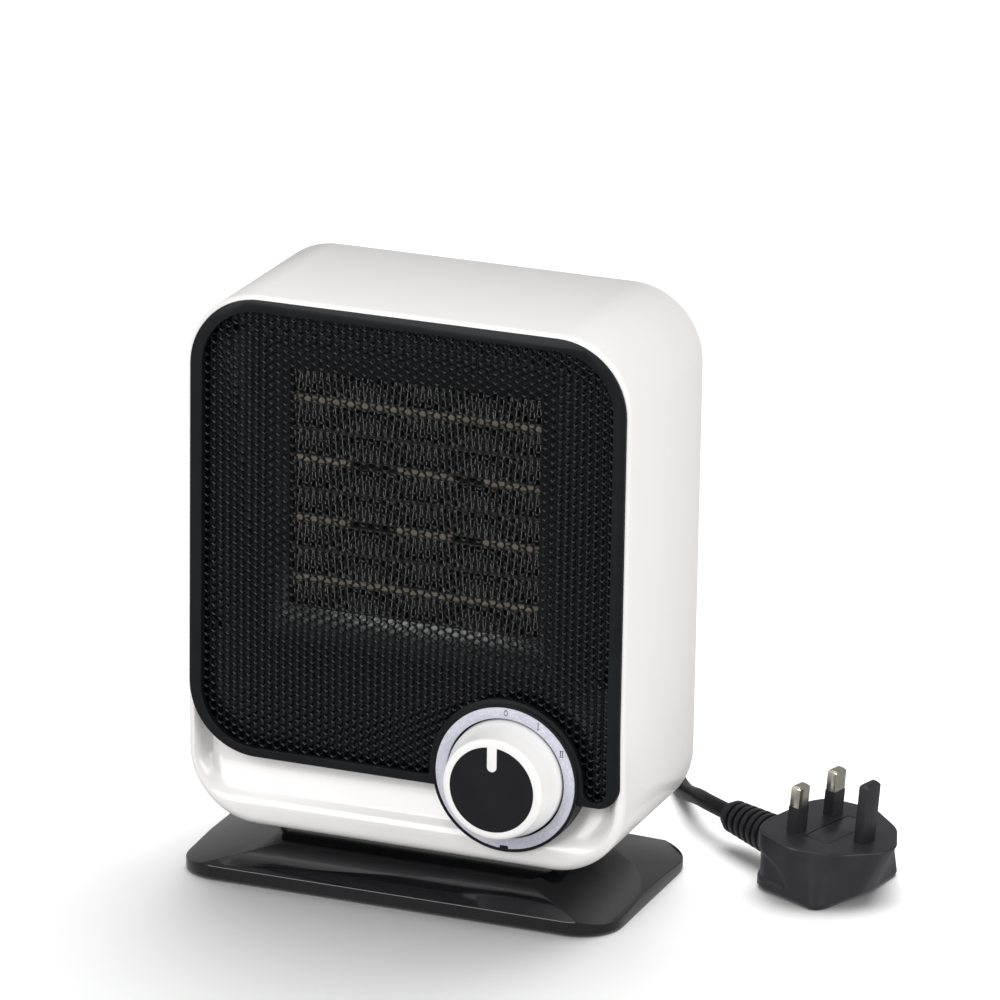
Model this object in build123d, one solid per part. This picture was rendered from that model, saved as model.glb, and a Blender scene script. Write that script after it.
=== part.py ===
from build123d import *

import math
import os

os.makedirs("parts", exist_ok=True)

# Ceramic (PTC) space heater on a fixed black foot, with its lead and a three-pin plug.
# Millimetres. X to the right, Y to the back, Z up, origin on the floor under the middle.

# ---------------------------------------------------------------- driving dimensions
# Cased body: a rounded tube lying along Y, closed by a bezel in front and a cover behind
BODY_WIDTH = 168.0
BODY_BOTTOM_Z = 19.5
BODY_HEIGHT = 198.0
BODY_CORNER = 27.0
BODY_FRONT_Y = -31.5
BODY_BACK_Y = 42.5
BODY_WALL = 2.6
BODY_RIM_ROUND = 1.4
CAVITY_FRONT_Y = -20.6

# Scooped chin under the bezel
SCOOP_DEPTH_Y = -23.2
SCOOP_LIP_Z = 25.8
SCOOP_SIDE_RIM = 3.4

# Front bezel with the dial boss
BEZEL_FRONT_Y = -32.5
BEZEL_SIDE_RIM = 1.5
BEZEL_BOTTOM_Z = 45.0
BEZEL_CORNER = 26.0
BEZEL_SHORT_CORNER = 8.0
BEZEL_BAND = 4.5
BEZEL_TOP_BAND = 4.1
BEZEL_BOTTOM_BAND = 3.2
BEZEL_POCKET_BAND = 1.9
BEZEL_POCKET_ROUND = 4.2
BEZEL_CUSP_ROUND = 1.5
BEZEL_FLANGE = 2.2
BEZEL_DEPTH = 4.7
BEZEL_SKIRT = 2.0
GRILLE_THICKNESS = 0.9
GRILLE_LAP = 1.3

# Dial and knob
DIAL_X = 40.1
DIAL_ABOVE_BOTTOM = 4.5
DIAL_BOSS_RADIUS = 27.6
DIAL_BOSS_PROUD = 1.1
DIAL_RING_OUTER = 26.5
DIAL_RING_INNER = 22.4
DIAL_RING_THICKNESS = 1.1
DIAL_BAND = 1.6
DIAL_KEY_WIDTH = 3.0
DIAL_KEY_HEIGHT = 1.0
KNOB_RECESS_FLOOR_Y = -29.0
KNOB_FLOOR_THICKNESS = 2.0
KNOB_BASE_RADIUS = 21.8
KNOB_FRONT_RADIUS = 18.6
KNOB_BACK_Y = -31.3
KNOB_FRONT_Y = -46.5
KNOB_SHOULDER = 3.0
KNOB_WALL = 2.0
KNOB_HUB_RADIUS = 6.0
CAP_RADIUS = 15.8
CAP_THICKNESS = 0.9
POINTER_WIDTH = 3.6
POINTER_LENGTH = 9.0
SHAFT_RADIUS = 3.0
SHAFT_FLAT = 2.2
SWITCH_SIZE = 28.0
SWITCH_DEPTH = 15.0

# Heating element: stacked modules of fin, plate, ceramic, plate, fin
ELEMENT_HALF_WIDTH = 47.2
ELEMENT_FRONT_Y = -22.0
ELEMENT_DEPTH = 13.5
MODULE_COUNT = 4
PLATE_THICKNESS = 0.4
STONE_THICKNESS = 2.4
STONE_DEPTH = 12.0
MODULE_GAP = 0.3
END_CAP_WIDTH = 4.4
TERMINAL_INSET = 4.0

# Air duct from the element to the front
DUCT_WALL = 1.8
DUCT_MOUTH_HALF_WIDTH = 56.3
DUCT_ABOVE_DIAL = 8.6
DUCT_BELOW_TOP = 14.5
DUCT_FLARE = 13.4
DUCT_APERTURE_HALF_WIDTH = 47.7
DUCT_LIP = 0.25
DUCT_PLATE = 1.8

# Fan and motor, on one axis behind the element
FAN_RADIUS = 44.5
FAN_BLADES = 7
FAN_HUB_RADIUS = 13.0
FAN_BACK_Y = 9.0
FAN_DEPTH = 11.0
BLADE_THICKNESS = 1.4
BLADE_PITCH = 38.0
SHROUD_BORE_RADIUS = 46.5
SHROUD_WALL = 2.2
SHROUD_LENGTH = 18.0
SHROUD_FLANGE = 2.0
FLANGE_SCREW_INSET = 11.05
STRAP_THICKNESS = 1.2
STRAP_WIDTH = 14.0
BRIDGE_THICKNESS = 3.8
STATOR_WIDTH = 46.0
STATOR_TOP = 24.0
STATOR_BOTTOM = 36.0
STATOR_DEPTH = 12.0
STATOR_BORE = 12.6
STATOR_LEG = 9.0
ROTOR_RADIUS = 12.2
MOTOR_SHAFT_RADIUS = 2.0

# Foot
BASE_WIDTH = 168.0
BASE_DEPTH = 91.0
BASE_CENTER_Y = 1.0
BASE_CORNER = 16.0
BASE_BOTTOM_Z = 0.8
BASE_RIM_TOP_Z = 5.4
BASE_TOP_Z = 12.2
BASE_RIDGE_HALF_LENGTH = 48.0
BASE_RIDGE_INSET = 14.5
BASE_APEX_X = 57.0
BASE_CORNER_FACET_X = 74.0
BASE_WALL = 2.4
BASE_SKIN = 2.0
NECK_HALF_WIDTH = 56.0
NECK_HALF_DEPTH = 24.0
NECK_CORNER = 8.0
FOOT_RADIUS = 6.5
FOOT_INSET_X = 16.0
FOOT_INSET_Y = 15.0
FOOT_RECESS = 1.2
BASE_PLATE_THICKNESS = 1.6

# Rear cover with its intake slots
COVER_THICKNESS = 2.4
COVER_SLOT_HEIGHT = 3.0
COVER_SLOT_PITCH = 6.0
COVER_SLOT_COUNT = 15
COVER_INTAKE_RADIUS = 47.0
COVER_SET_IN = 0.8

# Fasteners
SCREW_RADIUS = 1.5
SCREW_HEAD_RADIUS = 2.9
SCREW_HEAD_THICKNESS = 1.6
SCREW_LENGTH = 9.0
COLUMN_RADIUS = 4.0
COLUMN_RIB = 2.0

# Tip-over switch: a weight on an arm that hangs from a pin
TILT_X = 0.0
TILT_Y = 14.0
TILT_PIVOT_Z = 52.0
TILT_ARM = 17.0
TILT_WEIGHT_RADIUS = 6.0
TILT_PIN_RADIUS = 1.2

# Mains lead and plug
CORD_DIAMETER = 6.2
GLAND_X = -48.6
GLAND_Z = 32.0
GLAND_FLANGE_RADIUS = 8.0
GLAND_FLANGE = 2.4
GLAND_NECK_RADIUS = 5.8
GLAND_LENGTH = 24.0
GLAND_TIP_RADIUS = 4.3
COIL_CENTER_X = -4.6
COIL_CENTER_Y = 124.0
COIL_OUTER_TURN = 44.0
COIL_INNER_TURN = 25.4
COIL_LAYERS = 2
PLUG_X = 130.1
PLUG_Y = 44.2
PLUG_FACE_Z = 22.5
PLUG_YAW = -16.8
PLUG_DROP = 4.6
PLUG_CORD_SIDE = 12.4
PLUG_EARTH_SIDE = 34.8
PLUG_HALF_WIDTH = 26.8
PLUG_BACK_CORD_SIDE = 14.5
PLUG_BACK_EARTH_SIDE = 23.5
PLUG_BOTTOM_CHAMFER = 1.5
FUSE_CARRIER_DEPTH = 1.5
FUSE_CARRIER_AHEAD = 10.3
FUSE_CARRIER_WIDTH = 10.4
FUSE_CARRIER_LENGTH = 27.0
PIN_SPACING = 22.2
PIN_LENGTH = 17.7
PIN_WIDTH = 6.35
PIN_THICKNESS = 4.0
PIN_SLEEVE = 9.5
PIN_SLEEVE_WALL = 0.1
EARTH_LENGTH = 22.7
EARTH_WIDTH = 8.0
RELIEF_LENGTH = 34.0
RELIEF_RIBS = 8
RELIEF_RADIUS = 7.0
RELIEF_TIP_RADIUS = 4.2
RELIEF_TAPER = 0.22
RELIEF_YAW = -33.0
RELIEF_TILT = 0.0

# Clearances
FIT = 0.15
SEAT = 0.1
RUNNING = 0.05

# ---------------------------------------------------------------- derived places
BODY_MID_Z = BODY_BOTTOM_Z + BODY_HEIGHT / 2
BODY_TOP_Z = BODY_BOTTOM_Z + BODY_HEIGHT
BODY_HALF = BODY_WIDTH / 2
BODY_FLOOR_Z = BODY_BOTTOM_Z + BODY_WALL
CORNER_X = BODY_HALF - BODY_CORNER
CORNER_TOP_Z = BODY_TOP_Z - BODY_CORNER
CORNER_LOW_Z = BODY_BOTTOM_Z + BODY_CORNER
BEZEL_HALF = BODY_HALF - BEZEL_SIDE_RIM
BEZEL_TOP_Z = BODY_TOP_Z - BEZEL_SIDE_RIM - 0.2
BEZEL_BACK_Y = BEZEL_FRONT_Y + BEZEL_DEPTH
GRILLE_FRONT_Y = BEZEL_FRONT_Y + BEZEL_FLANGE + SEAT
DIAL_Z = BODY_BOTTOM_Z + DIAL_ABOVE_BOTTOM + DIAL_BOSS_RADIUS
BOSS_FRONT_Y = BEZEL_FRONT_Y - DIAL_BOSS_PROUD
RING_SEAT_Y = BOSS_FRONT_Y + DIAL_RING_THICKNESS
SWITCH_FRONT_Y = KNOB_RECESS_FLOOR_Y + KNOB_FLOOR_THICKNESS
SWITCH_BACK_Y = SWITCH_FRONT_Y + SWITCH_DEPTH
ELEMENT_BACK_Y = ELEMENT_FRONT_Y + ELEMENT_DEPTH
DUCT_LOW_Z = DIAL_Z + DIAL_BOSS_RADIUS + DUCT_ABOVE_DIAL
DUCT_HIGH_Z = BODY_TOP_Z - DUCT_BELOW_TOP
DUCT_MOUTH_HEIGHT = DUCT_HIGH_Z - DUCT_LOW_Z
ELEMENT_CENTER_Z = (DUCT_LOW_Z + DUCT_HIGH_Z) / 2
ELEMENT_ROOM = DUCT_MOUTH_HEIGHT - 2 * (DUCT_FLARE - DUCT_LIP)
MODULE_HEIGHT = (ELEMENT_ROOM - (MODULE_COUNT - 1) * MODULE_GAP) / MODULE_COUNT
FIN_HEIGHT = (MODULE_HEIGHT - 4 * PLATE_THICKNESS - STONE_THICKNESS) / 2
ELEMENT_HEIGHT = MODULE_COUNT * MODULE_HEIGHT + (MODULE_COUNT - 1) * MODULE_GAP
ELEMENT_LOW_Z = ELEMENT_CENTER_Z - ELEMENT_HEIGHT / 2
DUCT_FRONT_Y = BEZEL_BACK_Y + SEAT
DUCT_APERTURE_Y = ELEMENT_FRONT_Y - 1.0
DUCT_HALF_WIDTH = ELEMENT_HALF_WIDTH + END_CAP_WIDTH + 0.3
DUCT_HALF_HEIGHT = ELEMENT_HEIGHT / 2 + 0.6
DUCT_APERTURE_HALF_HEIGHT = ELEMENT_HEIGHT / 2 - DUCT_LIP
DUCT_BACK_Y = ELEMENT_BACK_Y + 1.5
FAN_Z = ELEMENT_CENTER_Z
FAN_FRONT_Y = FAN_BACK_Y - FAN_DEPTH
SHROUD_BACK_Y = DUCT_BACK_Y + SHROUD_FLANGE + SHROUD_LENGTH
BRIDGE_FRONT_Y = SHROUD_BACK_Y + STRAP_THICKNESS
STATOR_FRONT_Y = BRIDGE_FRONT_Y + BRIDGE_THICKNESS
STATOR_BACK_Y = STATOR_FRONT_Y + STATOR_DEPTH
BRIDGE_BACK_Y = STATOR_BACK_Y + BRIDGE_THICKNESS
SHROUD_LUG_X = SHROUD_BORE_RADIUS + 5.2
FLANGE_SCREW_X = DUCT_HALF_WIDTH + DUCT_WALL + 4.2
FLANGE_SCREW_Z = DUCT_HALF_HEIGHT - FLANGE_SCREW_INSET
COVER_BACK_Y = BODY_BACK_Y - COVER_SET_IN
COVER_FRONT_Y = COVER_BACK_Y - COVER_THICKNESS
COLUMN_BACK_Y = COVER_FRONT_Y
COLUMN_TOP = (CORNER_X + 12.8, CORNER_TOP_Z + 12.8)
COLUMN_MIDDLE = (BODY_HALF - BODY_WALL - 5.6, 92.0)
COLUMN_LOW = (CORNER_X + 12.8, CORNER_LOW_Z - 12.8)
NECK_SCREW_X = 42.0
NECK_SCREW_Y = 14.0


# ---------------------------------------------------------------- helpers
def block(x_low, x_high, y_low, y_high, z_low, z_high):
    """Box between two corners."""
    size = Box(x_high - x_low, y_high - y_low, z_high - z_low)
    return Pos((x_low + x_high) / 2, (y_low + y_high) / 2, (z_low + z_high) / 2) * size


def along_y(profile, y_start, y_end):
    """Extrude a front-view profile, drawn in X and Z, from y_start back to y_end."""
    return extrude(Plane.XZ.offset(-y_start) * profile, -(y_end - y_start))


def disc(x, z, radius, y_start, y_end):
    """Cylinder along Y."""
    return along_y(Pos(x, z) * Circle(radius), y_start, y_end)


def post(x, y, radius, z_low, z_high):
    """Cylinder along Z."""
    return Pos(x, y, (z_low + z_high) / 2) * Cylinder(radius, z_high - z_low)


def cornered_rectangle(x_low, x_high, z_low, z_high, radii):
    """Rectangle whose corners have their own radii, anticlockwise from the lower left."""
    middle = Pos((x_low + x_high) / 2, (z_low + z_high) / 2)
    outline = middle * Rectangle(x_high - x_low, z_high - z_low)
    corners = ((x_low, z_low), (x_high, z_low), (x_high, z_high), (x_low, z_high))
    for (x, z), radius in zip(corners, radii):
        corner = outline.vertices().sort_by_distance(Vector(x, z, 0))[0]
        outline = fillet(corner, radius)
    return outline


def body_outline(inset=0.0):
    """Front view of the cased body, pulled in by inset."""
    size = RectangleRounded(BODY_WIDTH - 2 * inset, BODY_HEIGHT - 2 * inset, BODY_CORNER - inset)
    return Pos(0, BODY_MID_Z) * size


def bezel_outline(grow=0.0):
    """Front view of the bezel: a rounded rectangle that runs round the dial boss."""
    low, high = BEZEL_BOTTOM_Z - grow, BEZEL_TOP_Z + grow
    half = BEZEL_HALF + grow
    large, short = BEZEL_CORNER + grow, BEZEL_SHORT_CORNER + grow
    frame = cornered_rectangle(-half, half, low, high, (large, short, large, large))
    return frame + Pos(DIAL_X, DIAL_Z) * Circle(DIAL_BOSS_RADIUS + grow)


def grille_outline(grow=0.0):
    """Front view of the bezel's opening, which stops short of the dial and dips beside it."""
    half = BEZEL_HALF - BEZEL_BAND + grow
    low = BEZEL_BOTTOM_Z + BEZEL_BOTTOM_BAND - grow
    pocket_low = BEZEL_BOTTOM_Z + BEZEL_POCKET_BAND - grow
    high = BEZEL_TOP_Z - BEZEL_TOP_BAND + grow
    large, pocket_round = BEZEL_CORNER - BEZEL_BAND + grow, BEZEL_POCKET_ROUND + grow
    middle = Pos((DIAL_X - half) / 2, (low + high) / 2) * Rectangle(DIAL_X + half, high - low)
    pocket = Pos((DIAL_X + half) / 2, (pocket_low + high) / 2) * Rectangle(half - DIAL_X, high - pocket_low)
    dial_radius = DIAL_BOSS_RADIUS + DIAL_BAND - grow
    frame = middle + pocket - Pos(DIAL_X, DIAL_Z) * Circle(dial_radius)
    cusp_x = DIAL_X - math.sqrt(dial_radius ** 2 - (DIAL_Z - low) ** 2)
    pocket_x = DIAL_X + math.sqrt(dial_radius ** 2 - (DIAL_Z - pocket_low) ** 2)
    rounds = (
        (-half, low, large),
        (cusp_x, low, BEZEL_CUSP_ROUND),
        (pocket_x, pocket_low, pocket_round),
        (half, pocket_low, pocket_round),
        (half, high, large),
        (-half, high, large),
    )
    for x, z, radius in rounds:
        corner = frame.vertices().sort_by_distance(Vector(x, z, 0))[0]
        frame = fillet(corner, radius)
    return frame


def column_places():
    """Centres of the screw columns inside the body, in X and Z."""
    return [(side * x, z) for side in (-1, 1) for x, z in (COLUMN_TOP, COLUMN_MIDDLE, COLUMN_LOW)]


def screw_along_y(x, z, y_face, direction):
    """Pan-head screw on a face at y_face. Its shank runs in the given direction along Y."""
    head = disc(x, z, SCREW_HEAD_RADIUS, *sorted((y_face, y_face - direction * SCREW_HEAD_THICKNESS)))
    shank = disc(x, z, SCREW_RADIUS, *sorted((y_face, y_face + direction * SCREW_LENGTH)))
    slot_low, slot_high = sorted((y_face - direction * SCREW_HEAD_THICKNESS, y_face - direction * 0.8))
    cross = block(x - 2, x + 2, slot_low, slot_high, z - 0.4, z + 0.4)
    cross += block(x - 0.4, x + 0.4, slot_low, slot_high, z - 2, z + 2)
    return head + shank - cross


def screw_up(x, y, z_face):
    """Pan-head screw whose shank runs up from a face at z_face."""
    head = post(x, y, SCREW_HEAD_RADIUS, z_face - SCREW_HEAD_THICKNESS, z_face)
    shank = post(x, y, SCREW_RADIUS, z_face, z_face + SCREW_LENGTH + 6)
    slot_top = z_face - 0.8
    cross = block(x - 2, x + 2, y - 0.4, y + 0.4, z_face - SCREW_HEAD_THICKNESS, slot_top)
    cross += block(x - 0.4, x + 0.4, y - 2, y + 2, z_face - SCREW_HEAD_THICKNESS, slot_top)
    return head + shank - cross


def group(solids):
    """Several separate solids kept as one node."""
    return Compound(children=list(solids))


def save(name, shape):
    """Write one node."""
    export_step(shape, f"parts/{name}.step")


# ---------------------------------------------------------------- casing
def scoop_cutter():
    """What is taken out of the chin: a concave sweep from under the bezel to the lip."""
    top_z = BEZEL_BOTTOM_Z + 1.5
    out_y = BEZEL_FRONT_Y - 10
    sweep_arc = TangentArc((SCOOP_DEPTH_Y, top_z), (BODY_FRONT_Y, SCOOP_LIP_Z), tangent=(0, -1))
    heading = sweep_arc % 1
    run_out = Vector(BODY_FRONT_Y, SCOOP_LIP_Z) + heading * 8
    edges = [
        sweep_arc,
        Line((BODY_FRONT_Y, SCOOP_LIP_Z), (run_out.X, run_out.Y)),
        Line((run_out.X, run_out.Y), (out_y, run_out.Y)),
        Line((out_y, run_out.Y), (out_y, top_z)),
        Line((out_y, top_z), (SCOOP_DEPTH_Y, top_z)),
    ]
    profile = make_face(edges)
    swept = extrude(Plane.YZ * profile, BODY_HALF, both=True)
    return swept & along_y(body_outline(SCOOP_SIDE_RIM), out_y, 0)


def housing_shell():
    shell = along_y(body_outline(), BODY_FRONT_Y, BODY_BACK_Y)
    rims = shell.edges().filter_by(Plane.XZ)
    shell = fillet(rims, BODY_RIM_ROUND)
    shell -= along_y(body_outline(BODY_WALL), CAVITY_FRONT_Y, BODY_BACK_Y + 1)
    shell -= scoop_cutter()
    shell -= along_y(bezel_outline(FIT), BEZEL_FRONT_Y - 5, CAVITY_FRONT_Y + 1)
    for x, z in column_places():
        front_y = CAVITY_FRONT_Y if z < BEZEL_BOTTOM_Z else DUCT_FRONT_Y + DUCT_PLATE + SEAT
        column = disc(x, z, COLUMN_RADIUS, front_y, COLUMN_BACK_Y)
        reach = math.copysign(BODY_HALF - 1.0, x)
        rib_start = max(front_y, CAVITY_FRONT_Y)
        rib = block(*sorted((x, reach)), rib_start, COLUMN_BACK_Y, z - COLUMN_RIB / 2, z + COLUMN_RIB / 2)
        column += rib & along_y(body_outline(BODY_WALL / 2), BODY_FRONT_Y, BODY_BACK_Y)
        shell += column
        shell -= disc(x, z, SCREW_RADIUS, COLUMN_BACK_Y - SCREW_LENGTH, COLUMN_BACK_Y)
        if z > BEZEL_BOTTOM_Z:
            shell -= disc(x, z, SCREW_RADIUS, front_y, front_y + SCREW_LENGTH)
    for x, y in neck_screw_places():
        boss = post(x, y, COLUMN_RADIUS, BODY_FLOOR_Z - 0.5, BODY_FLOOR_Z + 8)
        shell += boss
        shell -= post(x, y, SCREW_RADIUS, BODY_BOTTOM_Z - 1, BODY_FLOOR_Z + 8)
    return shell


def rear_cover():
    cover = along_y(body_outline(BODY_WALL + FIT), COVER_FRONT_Y, COVER_BACK_Y)
    first = FAN_Z - (COVER_SLOT_COUNT - 1) / 2 * COVER_SLOT_PITCH
    for index in range(COVER_SLOT_COUNT):
        z = first + index * COVER_SLOT_PITCH
        half = math.sqrt(COVER_INTAKE_RADIUS ** 2 - (z - FAN_Z) ** 2)
        for low, high in ((-half, -1.5), (1.5, half)):
            slot = Pos((low + high) / 2, z) * SlotOverall(high - low, COVER_SLOT_HEIGHT)
            cover -= along_y(slot, COVER_FRONT_Y - 1, COVER_BACK_Y + 1)
    for x, z in column_places():
        cover -= disc(x, z, SCREW_RADIUS + FIT, COVER_FRONT_Y, COVER_BACK_Y)
        cover -= disc(x, z, SCREW_HEAD_RADIUS + FIT, COVER_BACK_Y - 0.8, COVER_BACK_Y)
    return cover - disc(GLAND_X, GLAND_Z, GLAND_NECK_RADIUS + FIT, COVER_FRONT_Y, COVER_BACK_Y)


def front_bezel():
    bezel = along_y(bezel_outline() - grille_outline(), BEZEL_FRONT_Y, GRILLE_FRONT_Y)
    rim = bezel_outline() - grille_outline(GRILLE_LAP + FIT)
    bezel += along_y(rim, GRILLE_FRONT_Y, BEZEL_BACK_Y)
    skirt = bezel_outline() - bezel_outline(-BEZEL_SKIRT)
    bezel += along_y(skirt, BEZEL_BACK_Y, CAVITY_FRONT_Y)
    bezel += disc(DIAL_X, DIAL_Z, DIAL_BOSS_RADIUS, BOSS_FRONT_Y, KNOB_RECESS_FLOOR_Y)
    bezel += disc(DIAL_X, DIAL_Z, DIAL_BOSS_RADIUS, KNOB_RECESS_FLOOR_Y, SWITCH_FRONT_Y)
    tube = disc(DIAL_X, DIAL_Z, DIAL_BOSS_RADIUS, BOSS_FRONT_Y, CAVITY_FRONT_Y)
    tube -= disc(DIAL_X, DIAL_Z, DIAL_BOSS_RADIUS - BEZEL_SKIRT, BOSS_FRONT_Y - 1, CAVITY_FRONT_Y + 1)
    bezel += tube
    bezel -= disc(DIAL_X, DIAL_Z, DIAL_RING_OUTER + SEAT, BOSS_FRONT_Y - 1, RING_SEAT_Y)
    bezel -= disc(DIAL_X, DIAL_Z, DIAL_RING_INNER, BOSS_FRONT_Y - 1, KNOB_RECESS_FLOOR_Y)
    key_low = DIAL_Z - DIAL_BOSS_RADIUS + 0.5
    key_high = DIAL_Z - DIAL_RING_OUTER + DIAL_KEY_HEIGHT
    half_key = DIAL_KEY_WIDTH / 2
    bezel += block(DIAL_X - half_key, DIAL_X + half_key, BOSS_FRONT_Y, RING_SEAT_Y, key_low, key_high)
    bezel -= disc(DIAL_X, DIAL_Z, SHAFT_RADIUS + 1.5, KNOB_RECESS_FLOOR_Y, SWITCH_FRONT_Y)
    for x, z in switch_screw_places():
        bezel -= disc(x, z, SCREW_RADIUS + FIT, KNOB_RECESS_FLOOR_Y, SWITCH_FRONT_Y)
    inner = bezel_outline(-BEZEL_SKIRT) - Pos(DIAL_X, DIAL_Z) * Circle(DIAL_BOSS_RADIUS)
    return bezel - along_y(inner, BEZEL_BACK_Y + 0.01, CAVITY_FRONT_Y + 1)


def front_grille():
    """Grille sheet. Its fine honeycomb of holes is left to the finish model."""
    lapped = grille_outline(GRILLE_LAP)
    return along_y(lapped, GRILLE_FRONT_Y, GRILLE_FRONT_Y + GRILLE_THICKNESS)


# ---------------------------------------------------------------- dial and knob
def switch_screw_places():
    """Two screws beside the switch shaft."""
    return [(DIAL_X + side * 10.0, DIAL_Z) for side in (-1, 1)]


def dial_ring():
    ring = disc(DIAL_X, DIAL_Z, DIAL_RING_OUTER, BOSS_FRONT_Y + SEAT, RING_SEAT_Y)
    ring -= disc(DIAL_X, DIAL_Z, DIAL_RING_INNER, BOSS_FRONT_Y, RING_SEAT_Y)
    half_key = DIAL_KEY_WIDTH / 2 + SEAT
    key_high = DIAL_Z - DIAL_RING_OUTER + DIAL_KEY_HEIGHT + SEAT
    key_low = DIAL_Z - DIAL_BOSS_RADIUS
    return ring - block(DIAL_X - half_key, DIAL_X + half_key, BOSS_FRONT_Y, RING_SEAT_Y, key_low, key_high)


def turned_knob(profile_points, round_radius):
    """Solid of revolution about the dial's axis, from (radius, y) points with rounded corners."""
    outline = FilletPolyline(*profile_points, radius=round_radius)
    closing = Polyline(profile_points[-1], (0, profile_points[-1][1]), (0, profile_points[0][1]),
                       profile_points[0])
    face = make_face([outline, closing])
    return Pos(DIAL_X, 0, DIAL_Z) * revolve(Plane.XY * face, Axis.Y)


def knob():
    skirt_front_y = KNOB_BACK_Y - 4.0
    body = turned_knob(
        [
            (KNOB_BASE_RADIUS - 1, KNOB_BACK_Y),
            (KNOB_BASE_RADIUS, KNOB_BACK_Y),
            (KNOB_BASE_RADIUS - 0.4, skirt_front_y),
            (KNOB_FRONT_RADIUS + 0.6, KNOB_FRONT_Y + KNOB_SHOULDER),
            (KNOB_FRONT_RADIUS, KNOB_FRONT_Y),
            (KNOB_FRONT_RADIUS - 3, KNOB_FRONT_Y),
        ],
        [0.4, 2.0, 2.0, 1.6],
    )
    floor_y = KNOB_FRONT_Y + CAP_THICKNESS + KNOB_WALL + 0.6
    hollow = disc(DIAL_X, DIAL_Z, KNOB_FRONT_RADIUS - KNOB_WALL, floor_y, KNOB_BACK_Y + 1)
    hollow -= disc(DIAL_X, DIAL_Z, KNOB_HUB_RADIUS, floor_y, KNOB_BACK_Y - 1)
    hollow -= block(DIAL_X - 18, DIAL_X + 18, floor_y, KNOB_BACK_Y - 5, DIAL_Z - 0.8, DIAL_Z + 0.8)
    hollow -= block(DIAL_X - 0.8, DIAL_X + 0.8, floor_y, KNOB_BACK_Y - 5, DIAL_Z - 18, DIAL_Z + 18)
    body -= hollow
    body -= switch_shaft(SEAT / 5)
    recess = disc(DIAL_X, DIAL_Z, CAP_RADIUS + SEAT, KNOB_FRONT_Y - 1, KNOB_FRONT_Y + CAP_THICKNESS)
    return body - (recess - pointer(0.0))


def pointer(clearance):
    """Raised bar of the knob that shows through the cap's slot."""
    half = POINTER_WIDTH / 2 + clearance
    end_z = DIAL_Z + CAP_RADIUS - POINTER_LENGTH + half
    bar_back_y = KNOB_FRONT_Y + CAP_THICKNESS
    bar = block(DIAL_X - half, DIAL_X + half, KNOB_FRONT_Y, bar_back_y, end_z, DIAL_Z + CAP_RADIUS + 1)
    return bar + disc(DIAL_X, end_z, half, KNOB_FRONT_Y, bar_back_y)


def knob_cap():
    cap = disc(DIAL_X, DIAL_Z, CAP_RADIUS, KNOB_FRONT_Y + 0.1, KNOB_FRONT_Y + CAP_THICKNESS)
    return cap - pointer(SEAT)


def switch_shaft(grow=0.0):
    front_y = KNOB_FRONT_Y + CAP_THICKNESS + KNOB_WALL + 1.0
    shaft = disc(DIAL_X, DIAL_Z, SHAFT_RADIUS + grow, front_y, SWITCH_BACK_Y - 3)
    flat_z = DIAL_Z + SHAFT_FLAT + grow
    flat = block(DIAL_X - 5, DIAL_X + 5, front_y - 1, KNOB_BACK_Y, flat_z, DIAL_Z + 5)
    return shaft - flat


def rotary_switch():
    size = Pos(DIAL_X, DIAL_Z) * RectangleRounded(SWITCH_SIZE, SWITCH_SIZE, 4)
    body = along_y(size, SWITCH_FRONT_Y, SWITCH_BACK_Y)
    body += disc(DIAL_X, DIAL_Z, SHAFT_RADIUS + 1.4, KNOB_RECESS_FLOOR_Y, SWITCH_FRONT_Y)
    body -= disc(DIAL_X, DIAL_Z, SHAFT_RADIUS + RUNNING, KNOB_RECESS_FLOOR_Y, SWITCH_BACK_Y - 2.9)
    for x, z in switch_screw_places():
        body -= disc(x, z, SCREW_RADIUS, SWITCH_FRONT_Y, SWITCH_FRONT_Y + SCREW_LENGTH)
    return body


def switch_terminals():
    tabs = []
    for x in (-8.0, 0.0, 8.0):
        back_y = SWITCH_BACK_Y + 8
        tabs.append(block(DIAL_X + x - 0.4, DIAL_X + x + 0.4, SWITCH_BACK_Y, back_y, DIAL_Z - 3, DIAL_Z + 3))
    return group(tabs)


# ---------------------------------------------------------------- heating element
def module_low(index):
    """Lowest Z of one element module."""
    return ELEMENT_LOW_Z + index * (MODULE_HEIGHT + MODULE_GAP)


def stone_spans(index):
    """Start and end in X of the ceramic stones in one module's row."""
    if index in (0, MODULE_COUNT - 1):
        length = 2 * ELEMENT_HALF_WIDTH / 4
        starts = [-ELEMENT_HALF_WIDTH + count * length for count in range(4)]
        return [(start + 0.1, start + length - 0.1) for start in starts]
    return [(-ELEMENT_HALF_WIDTH + 0.3, -25.4), (-7.3, 14.0), (25.4, ELEMENT_HALF_WIDTH - 0.3)]


def element_parts():
    """Fins, plates and stones of every module, from the bottom up."""
    half = ELEMENT_HALF_WIDTH
    fins, plates, stones = [], [], []
    for index in range(MODULE_COUNT):
        z = module_low(index)
        for layer in ("plate", "fin", "plate", "stone", "plate", "fin", "plate"):
            if layer == "plate":
                top = z + PLATE_THICKNESS
                plates.append(block(-half, half, ELEMENT_FRONT_Y, ELEMENT_BACK_Y, z, top))
            elif layer == "fin":
                top = z + FIN_HEIGHT
                fins.append(block(-half, half, ELEMENT_FRONT_Y + 0.4, ELEMENT_BACK_Y - 0.4, z, top))
            else:
                top = z + STONE_THICKNESS
                front_y = ELEMENT_FRONT_Y + (ELEMENT_DEPTH - STONE_DEPTH) / 2
                for low, high in stone_spans(index):
                    stones.append(block(low, high, front_y, front_y + STONE_DEPTH, z, top))
            z = top
    return group(fins), group(plates), group(stones)


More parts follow.
